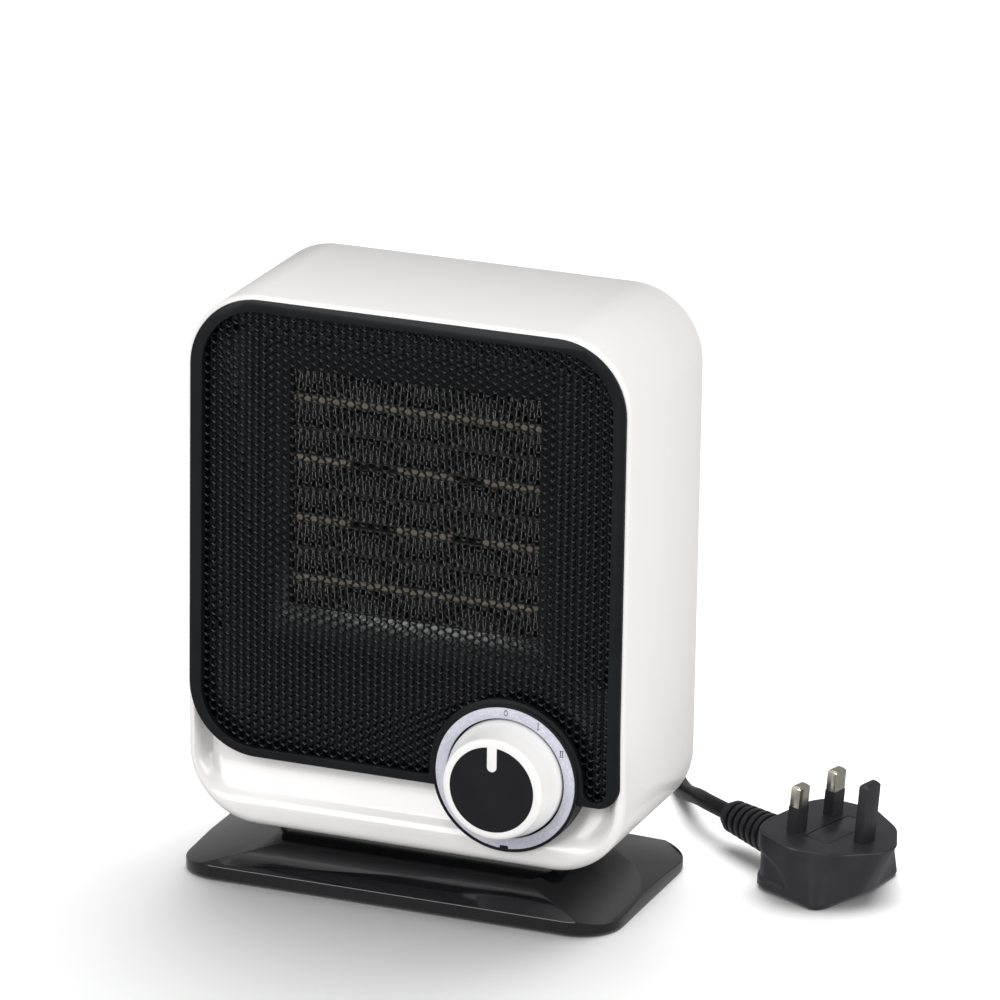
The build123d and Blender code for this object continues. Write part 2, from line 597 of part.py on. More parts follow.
def terminal_heights():
    """Z of the three terminal tabs: one common and one for each heat setting."""
    edge = ELEMENT_HEIGHT / 2 - TERMINAL_INSET
    return (ELEMENT_CENTER_Z - edge, ELEMENT_CENTER_Z, ELEMENT_CENTER_Z + edge)


def element_end_caps():
    low, high = ELEMENT_LOW_Z - 0.2, ELEMENT_LOW_Z + ELEMENT_HEIGHT + 0.2
    inner = ELEMENT_HALF_WIDTH
    outer = inner + END_CAP_WIDTH
    left = block(-outer, -inner, ELEMENT_FRONT_Y, ELEMENT_BACK_Y, low, high)
    right = block(inner, outer, ELEMENT_FRONT_Y, ELEMENT_BACK_Y, low, high)
    for z in terminal_heights():
        right -= block(inner - 1, outer + 1, terminal_y() - 3.3, terminal_y() + 3.3, z - 0.6, z + 0.6)
    return group([left, right])


def terminal_y():
    """Y of the middle of the terminal tabs."""
    return (ELEMENT_FRONT_Y + ELEMENT_BACK_Y) / 2


def element_terminals():
    start, end = ELEMENT_HALF_WIDTH, DUCT_HALF_WIDTH + DUCT_WALL + 8
    tabs = []
    for z in terminal_heights():
        tabs.append(block(start, end, terminal_y() - 3.1, terminal_y() + 3.1, z - 0.4, z + 0.4))
    return group(tabs)


def funnel(grow):
    """Tapered passage from the duct's mouth to the element's aperture."""
    mouth_size = (2 * (DUCT_MOUTH_HALF_WIDTH + grow), DUCT_MOUTH_HEIGHT + 2 * grow)
    mouth = Pos(0, ELEMENT_CENTER_Z) * Rectangle(*mouth_size)
    width = 2 * (DUCT_APERTURE_HALF_WIDTH + grow)
    height = 2 * (DUCT_APERTURE_HALF_HEIGHT + grow)
    aperture = Pos(0, ELEMENT_CENTER_Z) * Rectangle(width, height)
    front_face = Plane.XZ.offset(-DUCT_FRONT_Y) * mouth
    back_face = Plane.XZ.offset(-DUCT_APERTURE_Y) * aperture
    return loft([front_face.face(), back_face.face()], ruled=True)


def duct_box(grow, y_start, y_end):
    """Rectangular passage round the element."""
    width = 2 * (DUCT_HALF_WIDTH + grow)
    height = 2 * (DUCT_HALF_HEIGHT + grow)
    return along_y(Pos(0, ELEMENT_CENTER_Z) * Rectangle(width, height), y_start, y_end)


def flange_screw_places():
    """Screws that hold the fan shroud on the duct."""
    sides = (-1, 1)
    return [(a * FLANGE_SCREW_X, FAN_Z + b * FLANGE_SCREW_Z) for a in sides for b in sides]


def air_duct():
    plate_outline = bezel_outline(-BEZEL_SKIRT - 0.4)
    plate_outline -= Pos(DIAL_X, DIAL_Z) * Circle(DIAL_BOSS_RADIUS + 1.0)
    duct = along_y(plate_outline, DUCT_FRONT_Y, DUCT_FRONT_Y + DUCT_PLATE)
    duct += funnel(DUCT_WALL)
    duct += duct_box(DUCT_WALL, DUCT_APERTURE_Y - DUCT_WALL, DUCT_BACK_Y)
    for x, z in flange_screw_places():
        lug = disc(x, z, COLUMN_RADIUS, DUCT_BACK_Y - SCREW_LENGTH, DUCT_BACK_Y)
        web_x = math.copysign(DUCT_HALF_WIDTH + 0.5, x)
        lug += block(*sorted((x, web_x)), DUCT_BACK_Y - SCREW_LENGTH, DUCT_BACK_Y, z - 2, z + 2)
        duct += lug
    duct -= funnel(0)
    duct -= duct_box(0, DUCT_APERTURE_Y, DUCT_BACK_Y + 1)
    for x, z in flange_screw_places():
        duct -= disc(x, z, SCREW_RADIUS, DUCT_BACK_Y - SCREW_LENGTH + 1, DUCT_BACK_Y)
    for x, z in column_places():
        duct -= disc(x, z, SCREW_RADIUS + FIT, DUCT_FRONT_Y, DUCT_FRONT_Y + DUCT_PLATE)
    wall = (DUCT_HALF_WIDTH - 0.5, DUCT_HALF_WIDTH + DUCT_WALL + 0.5)
    for z in terminal_heights():
        duct -= block(*wall, terminal_y() - 3.4, terminal_y() + 3.4, z - 0.8, z + 0.8)
    return duct


def thermal_cutout():
    """Resettable bimetal thermostat on top of the duct."""
    top = ELEMENT_CENTER_Z + DUCT_HALF_HEIGHT + DUCT_WALL
    can = post(22, terminal_y() + 1, 6.5, top, top + 5.5)
    can += post(22, terminal_y() + 1, 4.6, top + 5.5, top + 8.0)
    for side in (-1, 1):
        tab_x = 22 + side * 9
        can += block(*sorted((22, tab_x)), terminal_y() - 1, terminal_y() + 3, top + 5.0, top + 5.8)
    return can


def thermal_fuse():
    """One-shot fuse lying in a clip on top of the duct."""
    top = ELEMENT_CENTER_Z + DUCT_HALF_HEIGHT + DUCT_WALL
    y = terminal_y() + 1
    axis_z = top + 2.1
    lead = Pos(-24, y, axis_z) * (Rot(0, 90, 0) * Cylinder(0.5, 30))
    fuse_body = Pos(-24, y, axis_z) * (Rot(0, 90, 0) * Cylinder(2.1, 12))
    return fuse_body + lead


# ---------------------------------------------------------------- fan and motor
def fan_shroud():
    width = 2 * (FLANGE_SCREW_X + 5)
    height = 2 * (SHROUD_BORE_RADIUS + SHROUD_WALL + 1)
    flange_shape = Pos(0, FAN_Z) * RectangleRounded(width, height, 6)
    flange_back = DUCT_BACK_Y + SHROUD_FLANGE
    shroud = along_y(flange_shape, DUCT_BACK_Y, flange_back)
    shroud += disc(0, FAN_Z, SHROUD_BORE_RADIUS + SHROUD_WALL, flange_back, SHROUD_BACK_Y)
    for side in (-1, 1):
        shroud += disc(side * SHROUD_LUG_X, FAN_Z, COLUMN_RADIUS, flange_back, SHROUD_BACK_Y)
    shroud -= disc(0, FAN_Z, SHROUD_BORE_RADIUS, DUCT_BACK_Y - 1, SHROUD_BACK_Y + 1)
    for side in (-1, 1):
        x = side * (SHROUD_LUG_X + 0.6)
        shroud -= disc(x, FAN_Z, SCREW_RADIUS, SHROUD_BACK_Y - SCREW_LENGTH, SHROUD_BACK_Y)
    for x, z in flange_screw_places():
        shroud -= disc(x, z, SCREW_RADIUS + FIT, DUCT_BACK_Y, flange_back)
    return shroud


def fan_impeller():
    hub = disc(0, FAN_Z, FAN_HUB_RADIUS, FAN_FRONT_Y, FAN_BACK_Y)
    chord = (FAN_DEPTH - 1.2) / math.sin(math.radians(BLADE_PITCH))
    middle_y = (FAN_FRONT_Y + FAN_BACK_Y) / 2
    span = FAN_RADIUS - FAN_HUB_RADIUS + 2
    blade = Box(chord, BLADE_THICKNESS, span)
    blade = Pos(0, middle_y, FAN_HUB_RADIUS - 2 + span / 2) * (Rot(0, 0, BLADE_PITCH) * blade)
    wheel = hub
    for index in range(FAN_BLADES):
        turned = Rot(0, index * 360 / FAN_BLADES, 0) * blade
        wheel += Pos(0, 0, FAN_Z) * turned
    wheel &= disc(0, FAN_Z, FAN_RADIUS, FAN_FRONT_Y, FAN_BACK_Y)
    wheel -= disc(0, FAN_Z, FAN_HUB_RADIUS - 2, FAN_FRONT_Y + 2, FAN_BACK_Y + 1)
    wheel += disc(0, FAN_Z, MOTOR_SHAFT_RADIUS + 2.5, FAN_FRONT_Y + 1, FAN_BACK_Y)
    return wheel - disc(0, FAN_Z, MOTOR_SHAFT_RADIUS + SEAT / 5, FAN_FRONT_Y - 1, FAN_BACK_Y + 1)


def motor_strap():
    """Steel strap across the back of the shroud that carries the motor."""
    strap_shape = Pos(0, FAN_Z) * SlotOverall(2 * (SHROUD_LUG_X + 6), STRAP_WIDTH)
    strap = along_y(strap_shape, SHROUD_BACK_Y, SHROUD_BACK_Y + STRAP_THICKNESS)
    strap -= disc(0, FAN_Z, 5.5, SHROUD_BACK_Y, SHROUD_BACK_Y + STRAP_THICKNESS)
    for side in (-1, 1):
        x = side * (SHROUD_LUG_X + 0.6)
        strap -= disc(x, FAN_Z, SCREW_RADIUS + FIT, SHROUD_BACK_Y, SHROUD_BACK_Y + STRAP_THICKNESS)
    return strap


def motor_stator():
    """Laminated stack with the rotor's bore above and a bottom leg that carries the coil."""
    low, high = FAN_Z - STATOR_BOTTOM, FAN_Z + STATOR_TOP
    middle = Pos(0, (low + high) / 2)
    outline = middle * RectangleRounded(STATOR_WIDTH, high - low, 3)
    window_low = low + STATOR_LEG
    window_high = FAN_Z - STATOR_BORE - 3.5
    window = Pos(0, (window_low + window_high) / 2)
    outline -= window * Rectangle(STATOR_WIDTH - 2 * STATOR_LEG, window_high - window_low)
    outline -= Pos(0, FAN_Z) * Circle(STATOR_BORE)
    return along_y(outline, STATOR_FRONT_Y, STATOR_BACK_Y)


def motor_coil():
    """Taped winding on the stack's bottom leg."""
    low = FAN_Z - STATOR_BOTTOM
    half = STATOR_WIDTH / 2 - STATOR_LEG - 0.3
    build = 3.4
    coil = block(-half, half, STATOR_FRONT_Y - build, STATOR_BACK_Y + build, low - build,
                 low + STATOR_LEG + build)
    coil = fillet(coil.edges().filter_by(Axis.X), 2.0)
    return coil - block(-half - 1, half + 1, STATOR_FRONT_Y - SEAT, STATOR_BACK_Y + SEAT, low - SEAT,
                        low + STATOR_LEG + SEAT)


def motor_bridge(y_start, y_end):
    """Bearing bridge across one face of the stack."""
    bridge = along_y(Pos(0, FAN_Z) * SlotOverall(STATOR_WIDTH, 13), y_start, y_end)
    return bridge - disc(0, FAN_Z, MOTOR_SHAFT_RADIUS + RUNNING, y_start - 1, y_end + 1)


def motor_bridges():
    front = motor_bridge(BRIDGE_FRONT_Y, STATOR_FRONT_Y)
    back = motor_bridge(STATOR_BACK_Y, BRIDGE_BACK_Y)
    return group([front, back])


def motor_rotor():
    return disc(0, FAN_Z, ROTOR_RADIUS, STATOR_FRONT_Y + 0.4, STATOR_BACK_Y - 0.4) - motor_shaft(0.0)


def motor_shaft(grow=0.0):
    return disc(0, FAN_Z, MOTOR_SHAFT_RADIUS + grow, FAN_FRONT_Y, BRIDGE_BACK_Y + 1)


# ---------------------------------------------------------------- tip-over switch
def tilt_switch():
    """Snap switch on the body's floor, with the pin that the weight hangs from."""
    body = block(TILT_X - 10, TILT_X + 10, TILT_Y, TILT_Y + 8, BODY_FLOOR_Z, TILT_PIVOT_Z + 5)
    pin_front_y = TILT_Y - 7
    body += Pos(TILT_X, (pin_front_y + TILT_Y) / 2, TILT_PIVOT_Z) * (
        Rot(90, 0, 0) * Cylinder(TILT_PIN_RADIUS, TILT_Y - pin_front_y)
    )
    return body + disc(TILT_X, TILT_PIVOT_Z, TILT_PIN_RADIUS + 0.9, pin_front_y - 1, pin_front_y)


def tilt_weight():
    back_y, front_y = TILT_Y - 0.8, TILT_Y - 6.6
    low = TILT_PIVOT_Z - TILT_ARM
    arm = block(TILT_X - 1.5, TILT_X + 1.5, front_y + 1, back_y - 1, low, TILT_PIVOT_Z)
    hub = disc(TILT_X, TILT_PIVOT_Z, 3.0, front_y, back_y)
    weight = disc(TILT_X, low, TILT_WEIGHT_RADIUS, front_y, back_y)
    bore = disc(TILT_X, TILT_PIVOT_Z, TILT_PIN_RADIUS + RUNNING, front_y - 1, back_y + 1)
    return arm + hub + weight - bore


def terminal_block():
    """Screw block on the body's floor where the lead's cores end."""
    block_low = BODY_FLOOR_Z
    body = block(13, 37, 16, 30, block_low, block_low + 11)
    for index in range(3):
        body -= post(17.5 + index * 7.5, 23, 2.2, block_low + 5, block_low + 12)
    return body


def cord_clamp():
    """Bar on the body's floor that grips the lead inside the gland."""
    low = BODY_FLOOR_Z
    bar = block(GLAND_X - 8, GLAND_X + 8, 28, 35, low, GLAND_Z + CORD_DIAMETER / 2 + 3)
    return bar - disc(GLAND_X, GLAND_Z, CORD_DIAMETER / 2 + 0.2, 27, 36)


# ---------------------------------------------------------------- foot
def neck_screw_places():
    """Screws that hold the foot on the body."""
    return [(a * NECK_SCREW_X, b * NECK_SCREW_Y + 2) for a in (-1, 1) for b in (-1, 1)]


def foot_places():
    """Centres of the rubber feet."""
    half_x = BASE_WIDTH / 2 - FOOT_INSET_X
    half_y = BASE_DEPTH / 2 - FOOT_INSET_Y
    return [(a * half_x, BASE_CENTER_Y + b * half_y) for a in (-1, 1) for b in (-1, 1)]


def above_plane(first, second, third):
    """Large block on the upper side of the plane through three points."""
    start = Vector(*first)
    normal = (Vector(*second) - start).cross(Vector(*third) - start).normalized()
    if normal.Z < 0:
        normal = normal * -1
    side = Plane(origin=start, z_dir=normal)
    return side * (Pos(0, 0, 40) * Box(400, 400, 80))


def faceted_top(drop):
    """Blocks that cut the foot's sloping facets, lowered by drop."""
    half_depth = BASE_DEPTH / 2
    ridge = half_depth - BASE_RIDGE_INSET
    top, rim = BASE_TOP_Z - drop, BASE_RIM_TOP_Z - drop
    cutters = []
    for back in (-1, 1):
        edge_y = BASE_CENTER_Y + back * half_depth
        ridge_y = BASE_CENTER_Y + back * ridge
        left, right = (-BASE_RIDGE_HALF_LENGTH, ridge_y, top), (BASE_RIDGE_HALF_LENGTH, ridge_y, top)
        cutters.append(above_plane(left, right, (0, edge_y, rim)))
        for side in (-1, 1):
            ridge_end = (side * BASE_RIDGE_HALF_LENGTH, ridge_y, top)
            apex = (side * BASE_APEX_X, BASE_CENTER_Y, top)
            rim_point = (side * BASE_CORNER_FACET_X, edge_y, rim)
            cutters.append(above_plane(ridge_end, apex, rim_point))
    for side in (-1, 1):
        apex = (side * BASE_APEX_X, BASE_CENTER_Y, top)
        apex_along = (side * BASE_APEX_X, BASE_CENTER_Y + 10, top)
        cutters.append(above_plane(apex, apex_along, (side * BASE_WIDTH / 2, BASE_CENTER_Y, rim)))
    return cutters


def foot_slab(inset, low, high):
    """Rounded rectangle of the foot, extruded in Z."""
    outline = RectangleRounded(BASE_WIDTH - 2 * inset, BASE_DEPTH - 2 * inset, BASE_CORNER - inset)
    return extrude(Pos(0, BASE_CENTER_Y, low) * outline, high - low)


def base_stand():
    stand = foot_slab(0, BASE_BOTTOM_Z, BASE_TOP_Z)
    for cutter in faceted_top(0):
        stand -= cutter
    neck = RectangleRounded(2 * NECK_HALF_WIDTH, 2 * NECK_HALF_DEPTH, NECK_CORNER)
    stand += extrude(Pos(0, BASE_CENTER_Y, BASE_RIM_TOP_Z) * neck, BODY_BOTTOM_Z - BASE_RIM_TOP_Z)
    hollow = foot_slab(BASE_WALL, BASE_BOTTOM_Z, BASE_TOP_Z - BASE_SKIN)
    for cutter in faceted_top(BASE_SKIN):
        hollow -= cutter
    for x, y in neck_screw_places():
        hollow -= post(x, y, COLUMN_RADIUS + 1, BASE_BOTTOM_Z + BASE_PLATE_THICKNESS, BASE_TOP_Z)
    stand -= hollow
    for x, y in neck_screw_places():
        stand -= post(x, y, SCREW_RADIUS + FIT, 0, BODY_BOTTOM_Z)
    return stand


def base_plate():
    plate = foot_slab(BASE_WALL + FIT, BASE_BOTTOM_Z, BASE_BOTTOM_Z + BASE_PLATE_THICKNESS)
    for x, y in foot_places():
        plate -= post(x, y, FOOT_RADIUS + FIT, BASE_BOTTOM_Z, BASE_BOTTOM_Z + FOOT_RECESS)
    for x, y in neck_screw_places():
        plate -= post(x, y, SCREW_HEAD_RADIUS + FIT, 0, BASE_BOTTOM_Z + BASE_PLATE_THICKNESS)
    return plate


def base_feet():
    return group(post(x, y, FOOT_RADIUS, 0, BASE_BOTTOM_Z + FOOT_RECESS) for x, y in foot_places())


# ---------------------------------------------------------------- lead
def cord_gland():
    """Moulded grommet and tapered bend guard in the rear cover."""
    gland = disc(GLAND_X, GLAND_Z, GLAND_NECK_RADIUS, COVER_FRONT_Y - 2, COVER_BACK_Y)
    gland += disc(GLAND_X, GLAND_Z, GLAND_NECK_RADIUS + 1.2, COVER_FRONT_Y - 2, COVER_FRONT_Y - SEAT)
    flange_back = COVER_BACK_Y + GLAND_FLANGE
    gland += disc(GLAND_X, GLAND_Z, GLAND_FLANGE_RADIUS, COVER_BACK_Y, flange_back)
    length = GLAND_LENGTH - GLAND_FLANGE
    taper = Pos(GLAND_X, flange_back + length / 2, GLAND_Z) * (
        Rot(-90, 0, 0) * Cone(GLAND_NECK_RADIUS, GLAND_TIP_RADIUS, length)
    )
    gland += taper
    return gland - disc(GLAND_X, GLAND_Z, CORD_DIAMETER / 2, COVER_FRONT_Y - 3, gland_tip_y())


def gland_tip_y():
    """Where the lead leaves the gland."""
    return COVER_BACK_Y + GLAND_LENGTH


def cord_coil():
    """Outer shape of the put-away turns of the lead."""
    half = CORD_DIAMETER / 2
    height = COIL_LAYERS * CORD_DIAMETER
    ring = post(COIL_CENTER_X, COIL_CENTER_Y, COIL_OUTER_TURN + half, 0, height)
    ring -= post(COIL_CENTER_X, COIL_CENTER_Y, COIL_INNER_TURN - half, -1, height + 1)
    return fillet(ring.edges(), half - 0.3)


def bend_radii(points):
    """The arc at each inner point: as large as its two runs allow."""
    radii = []
    for before, corner, after in zip(points, points[1:], points[2:]):
        arriving = Vector(*corner) - Vector(*before)
        leaving = Vector(*after) - Vector(*corner)
        half_turn = math.radians(arriving.get_angle(leaving)) / 2
        radii.append(0.45 * min(arriving.length, leaving.length) / math.tan(half_turn))
    return radii


def cord_tube(name, points):
    """Round tube along straight runs joined by tangent arcs."""
    radii = bend_radii(points)
    print(f"{name}: bend radii in diameters", [round(radius / CORD_DIAMETER, 1) for radius in radii])
    route = FilletPolyline(*points, radius=radii)
    section = Plane(origin=points[0], z_dir=route % 0) * Circle(CORD_DIAMETER / 2)
    tube = sweep(section, path=route)
    expected = math.pi * (CORD_DIAMETER / 2) ** 2 * route.length
    print(f"{name}: length {route.length:.1f}, volume ratio {tube.volume / expected:.4f}")
    return tube


FLOOR_CORD_Z = CORD_DIAMETER / 2
TOP_TURN_Z = CORD_DIAMETER * 1.5

# From the gland, down on to the coil's upper layer
GLAND_ROUTE = [
    (GLAND_X, COVER_BACK_Y + GLAND_LENGTH, GLAND_Z),
    (GLAND_X, 77.7, 30.9),
    (GLAND_X, 89.4, 26.4),
    (GLAND_X, 101.7, 16.6),
    (GLAND_X, 112.7, 11.4),
    (GLAND_X, 124.0, TOP_TURN_Z),
]

# From the coil's lower layer, along the floor and up to the plug's bend guard
PLUG_ROUTE = [
    (32.8, 147.2, FLOOR_CORD_Z),
    (42.6, 131.4, FLOOR_CORD_Z),
    (52.9, 111.9, FLOOR_CORD_Z),
    (62.8, 95.3, FLOOR_CORD_Z + 2.4),
    (71.3, 82.6, FLOOR_CORD_Z + 7.1),
    (79.7, 72.6, FLOOR_CORD_Z + 8.9),
    (90.2, 65.8, FLOOR_CORD_Z + 8.9),
]


# ---------------------------------------------------------------- plug
def plug_plane():
    """Plane of the pin face: X towards the earth pin, Z out of the face."""
    yaw = math.radians(PLUG_YAW)
    drop = math.radians(PLUG_DROP)
    along = Vector(math.cos(yaw) * math.cos(drop), math.sin(yaw) * math.cos(drop), -math.sin(drop))
    across = Vector(-math.sin(yaw), math.cos(yaw), 0)
    return Plane(origin=(PLUG_X, PLUG_Y, PLUG_FACE_Z), x_dir=along, z_dir=along.cross(across))


def mirrored_outline(points, round_radius):
    """Outline with the given points along one side and their mirror images along the other."""
    others = [(along, -across) for along, across in reversed(points)]
    outline = make_face(Polyline(*points, *others, close=True))
    return fillet(outline.vertices(), round_radius)


def plug_solid():
    """Plug moulding before its recess: a square-shouldered back under a rounder pin face."""
    cord_side, earth_side, half = -PLUG_CORD_SIDE, PLUG_EARTH_SIDE, PLUG_HALF_WIDTH
    face = [
        (cord_side, -13.0),
        (cord_side + 3.6, 4.8 - half),
        (cord_side + 20.4, -half),
        (earth_side - 10.6, 8.3 - half),
        (earth_side, -3.0),
    ]
    cord_side, earth_side = -PLUG_BACK_CORD_SIDE, PLUG_BACK_EARTH_SIDE
    back = [
        (cord_side, -13.0),
        (cord_side + 5.5, 5.8 - half),
        (cord_side + 20.5, 2.8 - half),
        (earth_side - 3.0, -half),
        (earth_side, -5.0),
    ]
    heading = Vector(1, 0, 0).rotate(Axis.Z, PLUG_YAW)
    level = Plane(origin=(PLUG_X, PLUG_Y, 0), x_dir=heading, z_dir=(0, 0, 1))
    side = mirrored_outline(back, 2.5)
    sections = [
        level * offset(side, -PLUG_BOTTOM_CHAMFER, kind=Kind.INTERSECTION),
        level.offset(PLUG_BOTTOM_CHAMFER) * side,
        plug_plane() * mirrored_outline(face, 2.5),
    ]
    return loft(sections, ruled=True)


def plug_body():
    return plug_solid() - extrude(plug_plane() * fuse_outline(), -FUSE_CARRIER_DEPTH)


def fuse_outline(shrink=0.0):
    """Outline of the fuse carrier between the earth pin and the other two."""
    size = (FUSE_CARRIER_WIDTH - 2 * shrink, FUSE_CARRIER_LENGTH - 2 * shrink)
    return Pos(FUSE_CARRIER_AHEAD, 0) * RectangleRounded(*size, 1.2)


def plug_fuse_cover():
    return extrude(plug_plane() * fuse_outline(SEAT), -FUSE_CARRIER_DEPTH)


def plug_pins():
    """Live and neutral pins, chamfered at their tips."""
    pins = []
    for side in (-1, 1):
        metal = Box(PIN_THICKNESS, PIN_WIDTH, PIN_LENGTH)
        metal = chamfer(metal.faces().sort_by(Axis.Z)[-1].edges(), 0.9)
        pins.append(plug_plane() * (Pos(0, side * PIN_SPACING / 2, PIN_LENGTH / 2) * metal))
    return group(pins)


def pin_sleeves():
    """Insulating sleeves on the roots of the live and neutral pins."""
    sleeves = []
    for side in (-1, 1):
        outer = Box(PIN_THICKNESS + 2 * PIN_SLEEVE_WALL, PIN_WIDTH + 2 * PIN_SLEEVE_WALL, PIN_SLEEVE)
        inner = Box(PIN_THICKNESS, PIN_WIDTH, PIN_SLEEVE)
        sleeves.append(plug_plane() * (Pos(0, side * PIN_SPACING / 2, PIN_SLEEVE / 2) * (outer - inner)))
    return group(sleeves)


def earth_pin():
    metal = Box(PIN_THICKNESS, EARTH_WIDTH, EARTH_LENGTH)
    metal = chamfer(metal.faces().sort_by(Axis.Z)[-1].edges(), 1.2)
    return plug_plane() * (Pos(PIN_SPACING, 0, EARTH_LENGTH / 2) * metal)


def relief_heading():
    """Unit vector from the plug along its bend guard."""
    yaw, tilt = math.radians(RELIEF_YAW), math.radians(RELIEF_TILT)
    return Vector(-math.cos(yaw) * math.cos(tilt), -math.sin(yaw) * math.cos(tilt), math.sin(tilt))


def plug_relief():
    """Ribbed bend guard between the plug and the lead."""
    heading = relief_heading()
    tip = Vector(*PLUG_ROUTE[-1])
    root = tip - heading * RELIEF_LENGTH
    guard = Plane(origin=root, z_dir=heading)
    core = Cone(RELIEF_RADIUS - 1.3, RELIEF_TIP_RADIUS, RELIEF_LENGTH)
    relief = Pos(0, 0, RELIEF_LENGTH / 2) * core
    pitch = (RELIEF_LENGTH - 3.0) / RELIEF_RIBS
    for index in range(RELIEF_RIBS):
        radius = RELIEF_RADIUS - index * RELIEF_TAPER
        relief += Pos(0, 0, 3.0 + index * pitch) * Cylinder(radius, pitch * 0.55)
    relief = guard * relief
    return relief - plug_solid()


# ---------------------------------------------------------------- assembly
def build():
    save("housing_shell", housing_shell())
    save("rear_cover", rear_cover())
    save("front_bezel", front_bezel())
    save("front_grille", front_grille())
    save("dial_ring", dial_ring())
    save("knob", knob())
    save("knob_cap", knob_cap())
    save("switch_shaft", switch_shaft())
    save("rotary_switch", rotary_switch())
    save("switch_terminals", switch_terminals())
    switch_places = switch_screw_places()
    save("switch_screws", group(screw_along_y(x, z, KNOB_RECESS_FLOOR_Y, 1) for x, z in switch_places))
    fins, plates, stones = element_parts()
    save("element_fins", fins)
    save("element_plates", plates)
    save("element_stones", stones)
    save("element_end_caps", element_end_caps())
    save("element_terminals", element_terminals())
    save("air_duct", air_duct())
    save("thermal_cutout", thermal_cutout())
    save("thermal_fuse", thermal_fuse())
    save("fan_shroud", fan_shroud())
    save("fan_impeller", fan_impeller())
    save("motor_strap", motor_strap())
    save("motor_stator", motor_stator())
    save("motor_coil", motor_coil())
    save("motor_bridges", motor_bridges())
    save("motor_rotor", motor_rotor())
    save("motor_shaft", motor_shaft())
    save("tilt_switch", tilt_switch())
    save("tilt_weight", tilt_weight())
    save("terminal_block", terminal_block())
    save("cord_clamp", cord_clamp())
    save("base_stand", base_stand())
    save("base_plate", base_plate())
    save("base_feet", base_feet())
    screw_seat = BASE_BOTTOM_Z + BASE_PLATE_THICKNESS
    save("base_screws", group(screw_up(x, y, screw_seat) for x, y in neck_screw_places()))
    cover_seat = COVER_BACK_Y - 0.8
    save("cover_screws", group(screw_along_y(x, z, cover_seat, -1) for x, z in column_places()))
    duct_places = [(x, z) for x, z in column_places() if z > BEZEL_BOTTOM_Z]
    save("duct_screws", group(screw_along_y(x, z, DUCT_FRONT_Y, 1) for x, z in duct_places))
    flange_back = DUCT_BACK_Y + SHROUD_FLANGE
    save("shroud_screws", group(screw_along_y(x, z, flange_back, -1) for x, z in flange_screw_places()))
    strap_back = SHROUD_BACK_Y + STRAP_THICKNESS
    strap_x = SHROUD_LUG_X + 0.6
    save("strap_screws", group(screw_along_y(side * strap_x, FAN_Z, strap_back, -1) for side in (-1, 1)))
    save("cord_gland", cord_gland())
    save("cord_gland_run", cord_tube("cord_gland_run", GLAND_ROUTE))
    save("cord_coil", cord_coil())
    save("cord_plug_run", cord_tube("cord_plug_run", PLUG_ROUTE))
    save("plug_body", plug_body())
    save("plug_fuse_cover", plug_fuse_cover())
    save("plug_pins", plug_pins())
    save("pin_sleeves", pin_sleeves())
    save("earth_pin", earth_pin())
    save("plug_relief", plug_relief())


build()
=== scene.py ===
"""Finish model of a small ceramic space heater: cased body, black foot, lead and three-pin plug.

Every length is in metres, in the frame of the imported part: X runs to the right, Y to the back
and Z up, from an origin on the floor under the middle of the heater.
"""

from __future__ import annotations

import logging
import math
from collections.abc import Callable, Iterable
from dataclasses import dataclass
from enum import Enum

import bmesh
import bpy
from mathutils import Matrix, Vector


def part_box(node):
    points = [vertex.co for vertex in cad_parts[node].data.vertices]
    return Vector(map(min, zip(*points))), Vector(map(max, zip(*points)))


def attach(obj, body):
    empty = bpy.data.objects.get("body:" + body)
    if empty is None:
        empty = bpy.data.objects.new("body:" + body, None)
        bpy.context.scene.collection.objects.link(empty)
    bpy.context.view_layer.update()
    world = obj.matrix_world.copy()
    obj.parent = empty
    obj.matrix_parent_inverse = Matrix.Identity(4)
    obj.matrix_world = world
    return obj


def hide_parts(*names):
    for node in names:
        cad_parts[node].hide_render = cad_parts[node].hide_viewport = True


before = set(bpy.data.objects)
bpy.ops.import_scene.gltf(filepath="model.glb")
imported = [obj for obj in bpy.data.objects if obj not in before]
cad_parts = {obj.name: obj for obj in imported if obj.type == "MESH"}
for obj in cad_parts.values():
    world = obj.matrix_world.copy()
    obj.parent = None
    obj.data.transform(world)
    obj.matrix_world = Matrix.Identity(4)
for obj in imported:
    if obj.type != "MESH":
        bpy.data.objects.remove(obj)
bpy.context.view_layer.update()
MM = 0.001
log = logging.getLogger("heater")

Piece = bpy.types.Object
Tree = bpy.types.NodeTree
Socket = bpy.types.NodeSocket
Point = tuple[float, float, float]
Spot = tuple[float, float]

DIAL_CENTRE: Spot = (0.0401, 0.0516)
CAVITY_FRONT = -0.0206
BEZEL_FIT = 0.00015


# ------------------------------------------------------------------------------- bench
class Part(Enum):
    """What the modelling bench picks in edit mode."""

    CORNERS = "VERT"
    EDGES = "EDGE"
    FACES = "FACE"


class Joinery(Enum):
    """How one solid is combined with another."""

    CUT = "DIFFERENCE"
    FUSE = "UNION"


